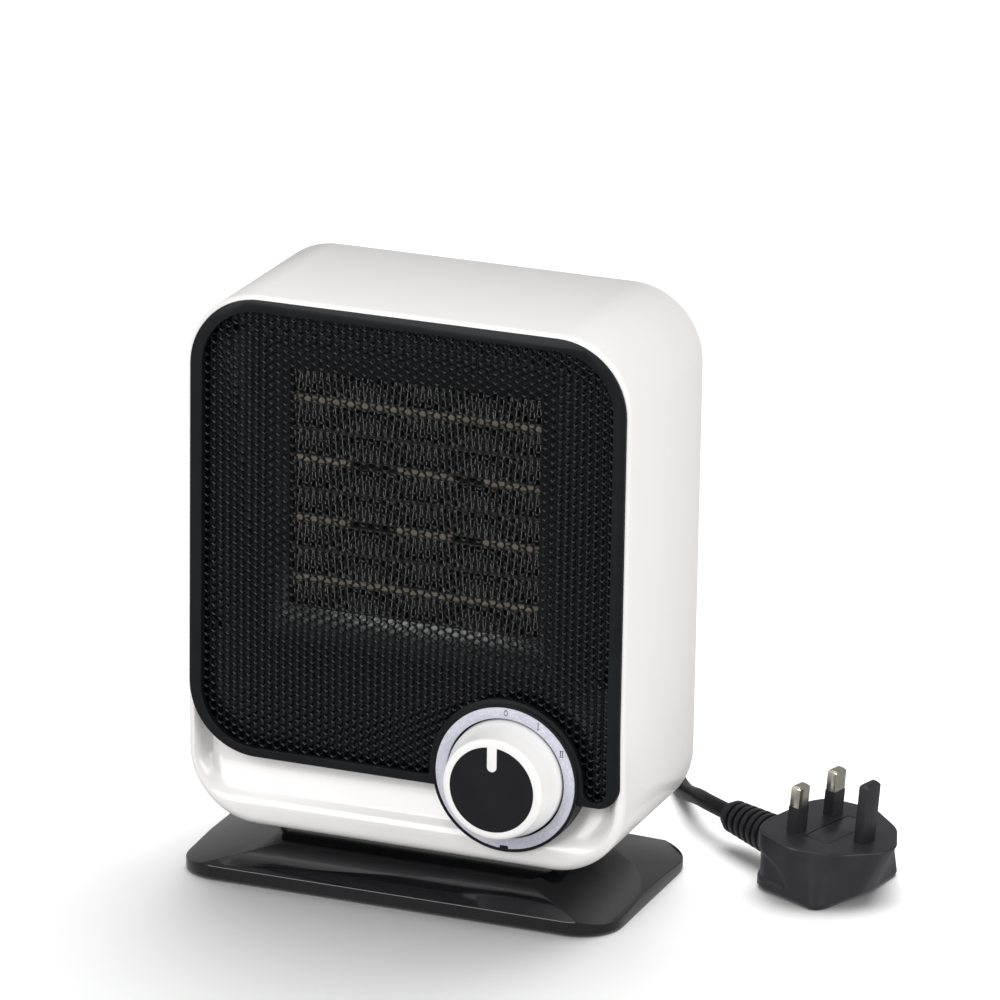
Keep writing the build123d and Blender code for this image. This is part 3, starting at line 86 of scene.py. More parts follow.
class Bench:
    """The modelling bench: primitives and edit operators, one piece in hand at a time.

    Attributes:
        doubled: corners nearer than this are one corner.
        flat_degrees: a casting's faces that meet at less than this are one face.
    """

    doubled = 0.000002
    flat_degrees = 0.4

    @staticmethod
    def clear() -> None:
        """Put everything down."""
        if bpy.context.mode != "OBJECT":
            bpy.ops.object.mode_set(mode="OBJECT")
        bpy.ops.object.select_all(action="DESELECT")

    @staticmethod
    def hold(*pieces: Piece) -> None:
        """Take pieces in hand, the first of them active."""
        Bench.clear()
        for piece in pieces:
            piece.select_set(True)
        bpy.context.view_layer.objects.active = pieces[0]

    @staticmethod
    def named(name: str) -> Piece:
        """Name the primitive that was just added, with its place moved into its mesh.

        Args:
            name: the piece's name.

        Returns:
            The piece, with its object at the origin.
        """
        piece = bpy.context.active_object
        piece.name = piece.data.name = name
        Bench.settle(piece)
        return piece

    @staticmethod
    def settle(piece: Piece) -> None:
        """Move a piece's place, turn and scale into its mesh."""
        Bench.hold(piece)
        bpy.ops.object.transform_apply(location=True, rotation=True, scale=True)

    @staticmethod
    def block(name: str, low: Point, high: Point) -> Piece:
        """Add a box between two corners.

        Args:
            name: the piece's name.
            low: its lowest corner.
            high: its highest corner.

        Returns:
            The box.
        """
        Bench.clear()
        middle = [(a + b) / 2 for a, b in zip(low, high)]
        bpy.ops.mesh.primitive_cube_add(size=1, location=middle)
        bpy.context.active_object.scale = [b - a for a, b in zip(low, high)]
        return Bench.named(name)

    @staticmethod
    def rod(name: str, start: Point, end: Point, radius: float, sides: int = 64) -> Piece:
        """Add a round bar between two points.

        Args:
            name: the piece's name.
            start: the middle of one end.
            end: the middle of the other end.
            radius: the bar's radius.
            sides: how many flats make it round.

        Returns:
            The bar.
        """
        Bench.clear()
        line = Vector(end) - Vector(start)
        turn = line.to_track_quat("Z", "Y").to_euler()
        middle = (Vector(start) + Vector(end)) / 2
        bpy.ops.mesh.primitive_cylinder_add(
            vertices=sides, radius=radius, depth=line.length, location=middle, rotation=turn
        )
        return Bench.named(name)

    @staticmethod
    def open_up(piece: Piece, action: str = "DESELECT") -> None:
        """Enter edit mode, for picking faces, with nothing or everything picked.

        Args:
            piece: the piece to work on.
            action: DESELECT to start with nothing picked, SELECT with everything.
        """
        Bench.hold(piece)
        bpy.ops.object.mode_set(mode="EDIT")
        bpy.ops.mesh.select_mode(type=Part.FACES.value)
        bpy.ops.mesh.select_all(action=action)

    @staticmethod
    def pick(piece: Piece, part: Part, test: Callable[..., bool]) -> int:
        """Pick the corners, edges or faces that pass a test, and nothing else.

        Args:
            piece: the piece that is open in edit mode.
            part: what to pick.
            test: gets each element, and says whether it is picked.

        Returns:
            How many were picked.
        """
        bpy.ops.mesh.select_mode(type=part.value)
        bpy.ops.mesh.select_all(action="DESELECT")
        mesh = bmesh.from_edit_mesh(piece.data)
        pool = {Part.CORNERS: mesh.verts, Part.EDGES: mesh.edges, Part.FACES: mesh.faces}[part]
        chosen = [element for element in pool if test(element)]
        for element in chosen:
            element.select_set(True)
        bmesh.update_edit_mesh(piece.data)
        return len(chosen)

    @staticmethod
    def close_up() -> None:
        """Leave edit mode."""
        bpy.ops.object.mode_set(mode="OBJECT")

    @staticmethod
    def round_block(piece: Piece, axis: int, radius: float, segments: int) -> None:
        """Round a block's four edges along one axis.

        Args:
            piece: the block.
            axis: 0, 1 or 2 for X, Y or Z.
            radius: the radius.
            segments: how many flats make each rounding.
        """
        Bench.open_up(piece)
        Bench.pick(piece, Part.EDGES, lambda edge: Bench.runs_along(edge, axis))
        bpy.ops.mesh.bevel(offset=radius, segments=segments, affect="EDGES")
        Bench.close_up()

    @staticmethod
    def runs_along(edge: bmesh.types.BMEdge, axis: int) -> bool:
        """Whether an edge of a block runs along an axis."""
        return abs(edge.verts[0].co[axis] - edge.verts[1].co[axis]) > MM

    @staticmethod
    def modify(piece: Piece, kind: str, **settings: object) -> None:
        """Give a piece a modifier and apply it.

        Args:
            piece: the piece.
            kind: the modifier's type.
            settings: the modifier's own settings.
        """
        Bench.hold(piece)
        modifier = piece.modifiers.new(kind.lower(), kind)
        for key, value in settings.items():
            setattr(modifier, key, value)
        bpy.ops.object.modifier_apply(modifier=modifier.name)

    @staticmethod
    def combine(piece: Piece, tool: Piece, joinery: Joinery) -> None:
        """Combine a piece with a tool solid, which is used up.

        Args:
            piece: the piece that stays.
            tool: the solid that cuts it or is fused to it.
            joinery: how the two are combined.
        """
        Bench.modify(piece, "BOOLEAN", operation=joinery.value, object=tool, solver="EXACT")
        bpy.data.objects.remove(tool)

    @staticmethod
    def join(name: str, pieces: Iterable[Piece]) -> Piece:
        """Join pieces into one.

        Args:
            name: the joined piece's name.
            pieces: the pieces.

        Returns:
            The joined piece.
        """
        Bench.hold(*pieces)
        bpy.ops.object.join()
        return Bench.named(name)

    @staticmethod
    def tidy(piece: Piece, distance: float, outward: bool = True) -> None:
        """Merge doubled corners and turn the faces outwards.

        Args:
            piece: the piece.
            distance: corners nearer than this become one.
            outward: whether the faces are turned outwards.
        """
        Bench.open_up(piece, "SELECT")
        bpy.ops.mesh.remove_doubles(threshold=distance)
        if outward:
            bpy.ops.mesh.normals_make_consistent(inside=False)
        Bench.close_up()

    @staticmethod
    def smooth(piece: Piece, degrees: float = 35.0) -> None:
        """Shade a piece smooth, apart from the edges sharper than an angle."""
        Bench.hold(piece)
        bpy.ops.object.shade_smooth_by_angle(angle=math.radians(degrees))

    @staticmethod
    def soften(piece: Piece, width: float, degrees: float = 35.0, segments: int = 2) -> None:
        """Round a piece's sharp edges.

        Args:
            piece: the piece.
            width: the width of the rounding.
            degrees: edges sharper than this are rounded.
            segments: how many flats make the rounding.
        """
        Bench.modify(
            piece,
            "BEVEL",
            width=width,
            segments=segments,
            limit_method="ANGLE",
            angle_limit=math.radians(degrees),
            miter_outer="MITER_ARC",
        )

    @staticmethod
    def casting(node: str, name: str, width: float = 0.0, segments: int = 2) -> Piece:
        """Take a clean copy of a CAD node, with its sharp edges rounded as a mould leaves them.

        Args:
            node: the CAD node.
            name: the copy's name.
            width: the width of the rounding, or 0 for none.
            segments: how many flats make the rounding.

        Returns:
            The copy, which replaces the node.
        """
        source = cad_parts[node]
        piece = bpy.data.objects.new(name, source.data.copy())
        piece.data.name = name
        bpy.context.scene.collection.objects.link(piece)
        piece.data.materials.clear()
        Bench.hold(piece)
        bpy.ops.mesh.customdata_custom_splitnormals_clear()
        Bench.open_up(piece, "SELECT")
        bpy.ops.mesh.remove_doubles(threshold=Bench.doubled)
        bpy.ops.mesh.dissolve_limited(angle_limit=math.radians(Bench.flat_degrees))
        Bench.close_up()
        if width:
            Bench.soften(piece, width, segments=segments)
        Bench.smooth(piece)
        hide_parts(node)
        return piece


# ---------------------------------------------------------------------------- finishes
def linear(code: str) -> tuple[float, float, float, float]:
    """Turn an sRGB hex colour to linear light.

    Args:
        code: six hex digits after a hash sign.

    Returns:
        Red, green, blue and an alpha of 1.
    """
    shares = [int(code[i : i + 2], 16) / 255 for i in (1, 3, 5)]
    turned = [s / 12.92 if s <= 0.04045 else ((s + 0.055) / 1.055) ** 2.4 for s in shares]
    return (*turned, 1.0)


def add_node(
    tree: Tree, kind: str, inputs: dict | None = None, **settings: object
) -> bpy.types.Node:
    """Add a node with its settings and links.

    Args:
        tree: the material's node tree.
        kind: the node's type, without its ShaderNode prefix.
        inputs: a value, or a socket to link from, for each input by its name or number.
        settings: the node's own settings.

    Returns:
        The node.
    """
    made = tree.nodes.new("ShaderNode" + kind)
    for key, value in settings.items():
        setattr(made, key, value)
    for name, value in (inputs or {}).items():
        if isinstance(value, Socket):
            tree.links.new(value, made.inputs[name])
        else:
            made.inputs[name].default_value = value
    return made


@dataclass(frozen=True)
class Finish:
    """What every finish has: its own colour pattern, gloss pattern and fine relief.

    Attributes:
        name: the material's common name and how its surface was made.
        colour: the main colour.
        shade: the colour that the main one drifts to.
        roughness: the middle roughness.
        spread: how far the roughness drifts either way.
        drift_mm: the size of the drift in colour and gloss.
        grain_mm: the size of the surface's fine relief.
        depth_mm: the height of the fine relief.
        ior: the refractive index.
        metallic: 1 for a metal.
        specular: the shader's specular level, below 0.5 where the real surface mirrors little.
        stretch: how much the grain is squeezed along X, Y and Z.
    """

    name: str
    colour: str
    shade: str
    roughness: float
    spread: float = 0.04
    drift_mm: float = 18.0
    grain_mm: float = 0.6
    depth_mm: float = 0.01
    ior: float = 1.5
    metallic: float = 0.0
    specular: float = 0.5
    stretch: Point = (1.0, 1.0, 1.0)

    def build(self) -> bpy.types.Material:
        """Make the material.

        Returns:
            The material, with its nodes.
        """
        material = bpy.data.materials.new(self.name)
        material.use_nodes = True
        tree = material.node_tree
        tree.nodes.clear()
        place = add_node(tree, "TexCoord").outputs["Object"]
        shader = add_node(
            tree,
            "BsdfPrincipled",
            {
                "Base Color": self.colouring(tree, place),
                "Roughness": self.gloss(tree, place),
                "Normal": self.relief(tree, place),
            },
        )
        shader.inputs["Metallic"].default_value = self.metallic
        if not self.metallic:
            shader.inputs["IOR"].default_value = self.ior
            shader.inputs["Specular IOR Level"].default_value = self.specular
        self.finish_shader(shader)
        add_node(tree, "OutputMaterial", {"Surface": shader.outputs["BSDF"]})
        return material

    def drift(self, tree: Tree, place: Socket) -> Socket:
        """Slow variation over the piece, about 0.5."""
        inputs = {"Vector": place, "Scale": 1000 / self.drift_mm, "Detail": 3.0, "Roughness": 0.6}
        return add_node(tree, "TexNoise", inputs).outputs["Fac"]

    def colouring(self, tree: Tree, place: Socket) -> Socket:
        """Drift between the two colours.

        Args:
            tree: the node tree.
            place: the coordinates.

        Returns:
            The colour.
        """
        ramp = {"Value": self.drift(tree, place), "From Min": 0.3, "From Max": 0.7}
        share = add_node(tree, "MapRange", ramp).outputs["Result"]
        ends = {0: share, 6: linear(self.colour), 7: linear(self.shade)}
        return add_node(tree, "Mix", ends, data_type="RGBA").outputs[2]

    def gloss(self, tree: Tree, place: Socket) -> Socket:
        """Drift of the roughness about its middle.

        Args:
            tree: the node tree.
            place: the coordinates.

        Returns:
            The roughness.
        """
        ramp = {
            "Value": self.drift(tree, place),
            "From Min": 0.3,
            "From Max": 0.7,
            "To Min": max(0.02, self.roughness - self.spread),
            "To Max": self.roughness + self.spread,
        }
        return add_node(tree, "MapRange", ramp).outputs["Result"]

    def grain(self, tree: Tree, place: Socket) -> Socket:
        """Height pattern of the fine relief.

        Args:
            tree: the node tree.
            place: the coordinates.

        Returns:
            The height, from 0 to 1.
        """
        squeezed = add_node(tree, "Mapping", {"Vector": place, "Scale": self.stretch})
        inputs = {"Vector": squeezed.outputs["Vector"], "Scale": 1000 / self.grain_mm}
        return add_node(tree, "TexNoise", {**inputs, "Detail": 2.0}).outputs["Fac"]

    def relief(self, tree: Tree, place: Socket) -> Socket:
        """Bumped normal of the fine relief."""
        inputs = {"Height": self.grain(tree, place), "Distance": self.depth_mm * MM}
        return add_node(tree, "Bump", inputs).outputs["Normal"]

    def finish_shader(self, shader: bpy.types.Node) -> None:
        """Set what else the shader needs. Most finishes need nothing."""


@dataclass(frozen=True)
class ClearCoated(Finish):
    """A finish under a thin clear gloss, as polished mould faces have.

    Attributes:
        coat: how much of the gloss there is.
        coat_roughness: the gloss's own roughness.
    """

    coat: float = 0.3
    coat_roughness: float = 0.06

    def finish_shader(self, shader: bpy.types.Node) -> None:
        """Lay the clear gloss over the finish."""
        shader.inputs["Coat Weight"].default_value = self.coat
        shader.inputs["Coat Roughness"].default_value = self.coat_roughness


@dataclass(frozen=True)
class Speckled(Finish):
    """A finish with small flakes in it, as metallic print and fired ceramic have.

    Attributes:
        flake_mm: distance of the flakes.
        flake: their colour.
    """

    flake_mm: float = 0.35
    flake: str = "#FFFFFF"

    def colouring(self, tree: Tree, place: Socket) -> Socket:
        """Scatter flakes over the drifting colour.

        Args:
            tree: the node tree.
            place: the coordinates.

        Returns:
            The colour.
        """
        ground = super().colouring(tree, place)
        cells = add_node(tree, "TexVoronoi", {"Vector": place, "Scale": 1000 / self.flake_mm})
        ramp = {"Value": cells.outputs["Color"], "From Min": 0.55, "From Max": 1.0, "To Max": 0.5}
        share = add_node(tree, "MapRange", ramp).outputs["Result"]
        ends = {0: share, 6: ground, 7: linear(self.flake)}
        return add_node(tree, "Mix", ends, data_type="RGBA").outputs[2]


@dataclass(frozen=True)
class Layered(Finish):
    """A finish with fine parallel lines across Y, as stacked laminations or wound tape have.

    Attributes:
        layer_mm: thickness of a layer.
    """

    layer_mm: float = 0.5

    def grain(self, tree: Tree, place: Socket) -> Socket:
        """Height pattern of lines a layer apart."""
        inputs = {"Vector": place, "Scale": 100 / self.layer_mm, "Distortion": 0.4}
        return add_node(tree, "TexWave", inputs, bands_direction="Y").outputs["Fac"]


class Slot(Enum):
    """The record's material slots, each with the finish that it stands for."""

    # Injection-moulded ABS from a polished mould: bright white and glossy all over
    WHITE_ABS = ClearCoated(
        "white_abs", "#E2E0DF", "#E1DFDE", 0.26, spread=0.006, drift_mm=60, grain_mm=0.9,
        depth_mm=0.0006, ior=1.53, coat=0.3, coat_roughness=0.08,
    )
    # Spark-eroded black ABS: satin, with a fine sandy grain that catches the light on edges
    BLACK_SATIN_ABS = Finish(
        "black_satin_abs", "#0E1012", "#121416", 0.34, grain_mm=0.45, depth_mm=0.006, ior=1.53,
        specular=0.24,
    )
    # Powder-coated perforated steel: near black, half gloss, slightly lumpy
    BLACK_SHEET = Finish(
        "black_sheet", "#08090A", "#0C0D0F", 0.26, drift_mm=6, grain_mm=0.5, depth_mm=0.006,
        ior=1.5, specular=0.26,
    )
    # Silver print on a moulded ring: pale grey-violet with fine metallic flakes
    SILVER_DIAL = Speckled(
        "silver_dial", "#B9BAC6", "#C2C3CE", 0.36, drift_mm=9, grain_mm=0.3, depth_mm=0.004,
        ior=1.5, flake_mm=0.5, flake="#E4E4EE",
    )
    # White ABS knob, polished: brighter and smoother than the case
    WHITE_KNOB = ClearCoated(
        "white_knob", "#E9E8E7", "#E6E5E4", 0.2, spread=0.03, drift_mm=25, grain_mm=0.9,
        depth_mm=0.0005, ior=1.53, specular=0.3, coat=0.1, coat_roughness=0.06,
    )
    # Black ABS inlay, polished: almost black, with soft reflections
    BLACK_CAP = ClearCoated(
        "black_cap", "#17171A", "#1B1B1E", 0.2, spread=0.02, drift_mm=12, grain_mm=0.8,
        depth_mm=0.0006, ior=1.53, specular=0.2, coat=0.1, coat_roughness=0.04,
    )
    # Glass-filled nylon air duct: dark grey, half gloss, streaked by the fibres
    DUCT_BLACK = Finish(
        "duct_black", "#0D0F14", "#12141A", 0.2, spread=0.03, drift_mm=14, grain_mm=0.8,
        depth_mm=0.006, ior=1.53, specular=0.5, stretch=(1, 3, 3),
    )
    # Corrugated aluminium strip: painted dull dark grey all over, as painted shade for the
    # occluded depth between the folds
    FIN_ALUMINIUM = Finish(
        "fin_aluminium", "#565755", "#484947", 0.5, drift_mm=7, grain_mm=0.5, depth_mm=0.01,
        metallic=0.6, stretch=(1, 1, 0.2),
    )
    # Barium-titanate ceramic with its electrode paint: beige, matt, specked
    PTC_CERAMIC = Speckled(
        "ptc_ceramic", "#857B6C", "#71685A", 0.62, drift_mm=4, grain_mm=0.4, depth_mm=0.02,
        ior=1.6, flake_mm=0.6, flake="#A99E88",
    )
    # Glass-filled heat-resistant resin: dark brown-black, matt
    HEAT_RESIN = Finish(
        "heat_resin", "#1E1A18", "#28221F", 0.5, drift_mm=6, grain_mm=0.5, depth_mm=0.02, ior=1.55
    )
    # Zinc-plated steel: bright cool grey metal with drawn lines
    STEEL = Finish(
        "steel", "#B4B6B8", "#A2A4A7", 0.34, drift_mm=5, grain_mm=0.4, depth_mm=0.008,
        metallic=1.0, stretch=(1, 1, 4),
    )
    # Black-oxided steel screws: dark, half gloss
    BLACK_SCREW = Finish(
        "black_screw", "#26272A", "#1C1D1F", 0.38, drift_mm=3, grain_mm=0.3, depth_mm=0.008,
        metallic=1.0,
    )
    # Stacked electrical steel: grey-brown, with the line of each lamination
    LAMINATION_STEEL = Layered(
        "lamination_steel", "#6C6A68", "#5A5552", 0.45, drift_mm=8, depth_mm=0.05, metallic=1.0,
        layer_mm=0.5,
    )
    # Die-cast zinc: pale grey, softly pitted metal
    ZINC_CASTING = Finish(
        "zinc_casting", "#8E9092", "#7D7F82", 0.46, drift_mm=5, grain_mm=0.7, depth_mm=0.04,
        metallic=1.0,
    )
    # Polyester tape over the winding: yellow, glossy, with its wound edges
    COIL_TAPE = Layered(
        "coil_tape", "#C9A63C", "#B8912B", 0.3, drift_mm=6, depth_mm=0.08, ior=1.57, layer_mm=2.0
    )
    # Stamped brass tabs: warm yellow metal
    BRASS = Finish(
        "brass", "#C6A25B", "#B48F49", 0.3, drift_mm=4, grain_mm=0.4, depth_mm=0.006,
        metallic=1.0, stretch=(1, 4, 1),
    )
    # Polished black ABS foot: deep black, mirror-like under its gloss
    BLACK_GLOSS_ABS = ClearCoated(
        "black_gloss_abs", "#0C0C0F", "#0F0F12", 0.14, spread=0.01, drift_mm=30, grain_mm=0.9,
        depth_mm=0.0005, ior=1.53, specular=0.32, coat=0.5, coat_roughness=0.02,
    )
    # Moulded rubber feet: matt black, slightly dusty
    RUBBER = Finish(
        "rubber", "#1A1A1A", "#242424", 0.75, drift_mm=3, grain_mm=0.3, depth_mm=0.02, ior=1.52
    )
    # Extruded PVC cord sheath: black satin with faint lengthwise streaks
    CORD_PVC = Finish(
        "cord_pvc", "#09090B", "#0D0D0F", 0.36, drift_mm=9, grain_mm=0.5, depth_mm=0.008, ior=1.54,
        specular=0.28,
    )
    # Moulded PVC plug: black-grey, lighter than the cord, with a fine matt grain
    PLUG_PVC = Finish(
        "plug_pvc", "#242327", "#29282C", 0.38, drift_mm=10, grain_mm=0.35, depth_mm=0.008,
        ior=1.54, specular=0.3,
    )
    # Nickel-plated brass pins: warm white metal, half bright
    NICKEL_PINS = Finish(
        "nickel_pins", "#CFCABF", "#BDB7AB", 0.24, drift_mm=4, grain_mm=0.4, depth_mm=0.005,
        metallic=1.0, stretch=(1, 1, 0.15),
    )


# The fins' sheared front edges: the pale colour of bare aluminium, made nearly non-metallic so the
# edges show as thin bright lines before their dark walls, which is painted highlight
SHEARED_EDGE_PAINTED_HIGHLIGHT = Finish(
    "sheared_edge_painted_highlight", "#C2C3C1", "#AEAFAD", 0.45, drift_mm=5, grain_mm=0.4, depth_mm=0.004,
    metallic=0.2,
)


class Wardrobe:
    """Builds each finish once and dresses pieces in it."""

    def __init__(self) -> None:
        """Start with no material built."""
        self.built: dict[Slot, bpy.types.Material] = {}

    def material(self, slot: Slot) -> bpy.types.Material:
        """Give the material of a slot, built at its first use.

        Args:
            slot: the record's slot.

        Returns:
            The material.
        """
        if slot not in self.built:
            self.built[slot] = slot.value.build()
        return self.built[slot]

    def dress(self, piece: Piece, slot: Slot, body: str) -> Piece:
        """Dress a new piece and let it ride on its body.

        Args:
            piece: the finished piece.
            slot: the record's slot that it takes its finish from.
            body: the CAD body that it moves with.

        Returns:
            The piece.
        """
        piece.data.materials.clear()
        piece.data.materials.append(self.material(slot))
        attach(piece, body)
        log.info("piece %s on %s in %s", piece.name, body, slot.value.name)
        return piece

    def dress_node(self, name: str) -> None:
        """Dress a CAD node that stays, in the finish of its own slot.

        Args:
            name: the node's name.
        """
        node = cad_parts[name]
        slot = next(s for s in Slot if s.value.name == node.data.materials[0].name.split(".")[0])
        node.material_slots[0].link = "OBJECT"
        node.material_slots[0].material = self.material(slot)
        log.info("node %s in %s", name, slot.value.name)


# ------------------------------------------------------------------------------ studio
class Lights(Enum):
    """What a lamp lights."""

    ALL = "all"
    FLOOR = "floor"
    HEATER = "heater"


@dataclass(frozen=True)
class Softbox:
    """One soft lamp.

    Attributes:
        name: the lamp's name.
        at: where it hangs.
        aim: the point that it faces.
        size: its width and height.
        watts: its power.
        lights: what it lights.
        mirrored: whether glossy surfaces show it.
    """

    name: str
    at: Point
    aim: Point
    size: Spot
    watts: float
    lights: Lights = Lights.HEATER
    mirrored: bool = True

    def hang(self) -> Piece:
        """Make the lamp.

        Returns:
            The lamp.
        """
        data = bpy.data.lights.new(self.name, "AREA")
        data.shape, data.energy = "RECTANGLE", self.watts
        data.size, data.size_y = self.size
        lamp = bpy.data.objects.new(self.name, data)
        bpy.context.scene.collection.objects.link(lamp)
        facing = (Vector(self.aim) - Vector(self.at)).to_track_quat("-Z", "Y").to_matrix()
        lamp.matrix_world = Matrix.Translation(self.at) @ facing.to_4x4()
        lamp.visible_glossy = self.mirrored
        return lamp


@dataclass
class Studio:
    """Pale floor, soft light and the camera.

    Attributes:
        lens_mm: focal length.
        sensor_mm: width of the sensor.
        eye: where the camera stands.
        azimuth: how far it is turned to the right of straight ahead, in degrees.
        elevation: how far it looks down, in degrees.
        roll: its turn about its own axis, in degrees.
        clip: the nearest and furthest that the camera sees.
        sky: strength of the even light from all round.
        floor_size: the floor's side.
        paper: the floor's finish.
        lamps: the lamps, in order.
    """

    lens_mm: float = 265.68
    sensor_mm: float = 36.0
    eye: Point = (0.9303, -2.3210, 0.9601)
    azimuth: float = 21.34
    elevation: float = 18.15
    roll: float = 0.91
    clip: Spot = (0.05, 60.0)
    sky: float = 0.38
    floor_size: float = 24.0

    paper = Finish("studio_paper", "#FAFAFA", "#F8F8F8", 0.8, drift_mm=400, depth_mm=0.0)
    lamps = (
        Softbox(
            "overhead_softbox", (-0.1, 0.55, 1.6), (0, 0, 0.05), (1.6, 1.6), 9, Lights.ALL, False
        ),
        Softbox("floor_softbox", (0.0, 0.8, 1.6), (0, 0, 0), (1.6, 1.6), 36, Lights.FLOOR),
        Softbox("overhead_strip", (-0.18, -0.5, 1.5), (0, 0, 0.1), (0.55, 0.06), 3.8),
        Softbox("front_softbox", (-0.5, -1.29, 0.8), (0, 0, 0.06), (0.9, 0.9), 14.5),
        Softbox("side_softbox", (1.6, -0.3, 0.6), (0, 0, 0.1), (0.9, 0.9), 16),
    )

    def place_camera(self) -> None:
        """Stand the camera at its place and make it the scene's."""
        data = bpy.data.cameras.new("camera")
        data.lens, data.sensor_width = self.lens_mm, self.sensor_mm
        data.clip_start, data.clip_end = self.clip
        camera = bpy.data.objects.new("camera", data)
        bpy.context.scene.collection.objects.link(camera)
        turn, tilt, roll = (math.radians(a) for a in (self.azimuth, self.elevation, self.roll))
        right = Vector((math.cos(turn), math.sin(turn), 0))
        back = Vector(
            (math.sin(turn) * math.cos(tilt), -math.cos(turn) * math.cos(tilt), math.sin(tilt))
        )
        up = back.cross(right)
        across = right * math.cos(roll) + up * math.sin(roll)
        along = up * math.cos(roll) - right * math.sin(roll)
        axes = Matrix((across, along, back)).transposed().to_4x4()
        camera.matrix_world = Matrix.Translation(self.eye) @ axes
        bpy.context.scene.camera = camera

    def lay_floor(self) -> Piece:
        """Lay the floor, which glossy surfaces don't show.

        Returns:
            The floor.
        """
        Bench.clear()
        bpy.ops.mesh.primitive_plane_add(size=self.floor_size, location=(0, 0, 0))
        floor = Bench.named("studio_floor")
        floor.data.materials.append(self.paper.build())
        floor.visible_glossy = False
        return floor

    def build(self) -> None:
        """Lay the floor and hang the lights, some for the floor alone and some for the rest."""
        scene = bpy.context.scene
        scene.view_settings.view_transform = "Standard"
        world = bpy.data.worlds.new("studio")
        world.use_nodes = True
        background = world.node_tree.nodes["Background"]
        background.inputs["Color"].default_value = (1, 1, 1, 1)
        background.inputs["Strength"].default_value = self.sky
        scene.world = world
        floor = self.lay_floor()
        receivers = {Lights.ALL: None}
        for lights, state in ((Lights.FLOOR, "INCLUDE"), (Lights.HEATER, "EXCLUDE")):
            receivers[lights] = bpy.data.collections.new("lit_" + lights.value)
            receivers[lights].objects.link(floor)
            receivers[lights].collection_objects[0].light_linking.link_state = state
        for softbox in self.lamps:
            softbox.hang().light_linking.receiver_collection = receivers[softbox.lights]


# -------------------------------------------------------------------------------- lead
def smoothstep(low: float, high: float, value: float) -> float:
    """Rise from 0 at low to 1 at high, with level ends."""
    share = min(max((value - low) / (high - low), 0.0), 1.0)
    return share * share * (3 - 2 * share)


@dataclass
class Lead:
    """Mains lead: gland, the put-away turns behind the heater, and the run to the plug.

    Attributes:
        diameter: over the sheath.
        length: the whole lead's length.
        outer_turn: radius of the widest turns' centreline.
        inner_turn: radius of the narrowest turns' centreline.
        coil_middle: the coil's centre on the floor.
        crossing_turns: how much of a turn the lead takes to come down a layer.
        whole_turns: complete turns in the coil.
        end_angle: where the last, incomplete turn ends, in degrees.
        steps: points in each turn.
        gland_edge: rounding of the gland's edges.
        gland_route: points from the gland to the coil.
        plug_route: points from the coil to the plug.
    """

    diameter: float = 0.0062
    length: float = 1.52
    outer_turn: float = 0.0440
    inner_turn: float = 0.0254
    coil_middle: Spot = (-0.0046, 0.124)
    crossing_turns: float = 0.41
    whole_turns: float = 6.0
    end_angle: float = 31.8
    steps: int = 16
    gland_edge: float = 0.0003

    gland_route = (
        (-0.0486, 0.0657, 0.0320),
        (-0.0486, 0.0777, 0.0309),
        (-0.0486, 0.0894, 0.0264),
        (-0.0486, 0.1017, 0.0166),
        (-0.0486, 0.1127, 0.0114),
        (-0.0486, 0.1240, 0.0093),
    )
    plug_route = (
        (0.0328, 0.1472, 0.0031),
        (0.0426, 0.1314, 0.0031),
        (0.0529, 0.1119, 0.0031),
        (0.0628, 0.0953, 0.0055),
        (0.0713, 0.0826, 0.0102),
        (0.0797, 0.0726, 0.0120),
        (0.0902, 0.0658, 0.0120),
    )

    def turns(self) -> list[Point]:
        """Points of the coil: in along the upper layer, down, and out along the lower one.

        Returns:
            The points between the two routes' ends.
        """
        whole = (180.0 - self.end_angle) / 360.0 + self.whole_turns
        layer = (whole - self.crossing_turns) / 2
        count = round(whole * self.steps)
        points = []
        for index in range(1, count):
            done = whole * index / count
            inwards = min(done / layer, 1.0)
            outwards = max((done - layer - self.crossing_turns) / layer, 0.0)
            shrink = (inwards - outwards) * (self.outer_turn - self.inner_turn)
            fall = smoothstep(layer, layer + self.crossing_turns, done)
            angle = math.pi - done * math.tau
            radius = self.outer_turn - shrink
            across = self.coil_middle[0] + radius * math.cos(angle)
            along = self.coil_middle[1] + radius * math.sin(angle)
            points.append((across, along, self.diameter * (1.5 - fall)))
        return points

    def build(self, wardrobe: Wardrobe, plug: list[Piece]) -> None:
        """Lay the lead.

        Args:
            wardrobe: dresses the pieces.
            plug: the plug's pieces, which lie on the lead's end; not used.
        """
        curve = bpy.data.curves.new("mains_lead", "CURVE")
        curve.dimensions = "3D"
        curve.bevel_depth = self.diameter / 2
        curve.bevel_resolution = 5
        curve.resolution_u = 6
        curve.use_fill_caps = True
        points = [*self.gland_route, *self.turns(), *self.plug_route]
        spline = curve.splines.new("NURBS")
        spline.points.add(len(points) - 1)
        for point, place in zip(spline.points, points):
            point.co = (*place, 1.0)
        spline.order_u = 3
        spline.use_endpoint_u = True
        lead = bpy.data.objects.new("mains_lead", curve)
        bpy.context.scene.collection.objects.link(lead)
        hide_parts("cord_gland_run", "cord_coil", "cord_plug_run")
        wardrobe.dress(lead, Slot.CORD_PVC, "heater")
        gland = Bench.casting("cord_gland", "lead_gland", self.gland_edge)
        wardrobe.dress(gland, Slot.CORD_PVC, "heater")


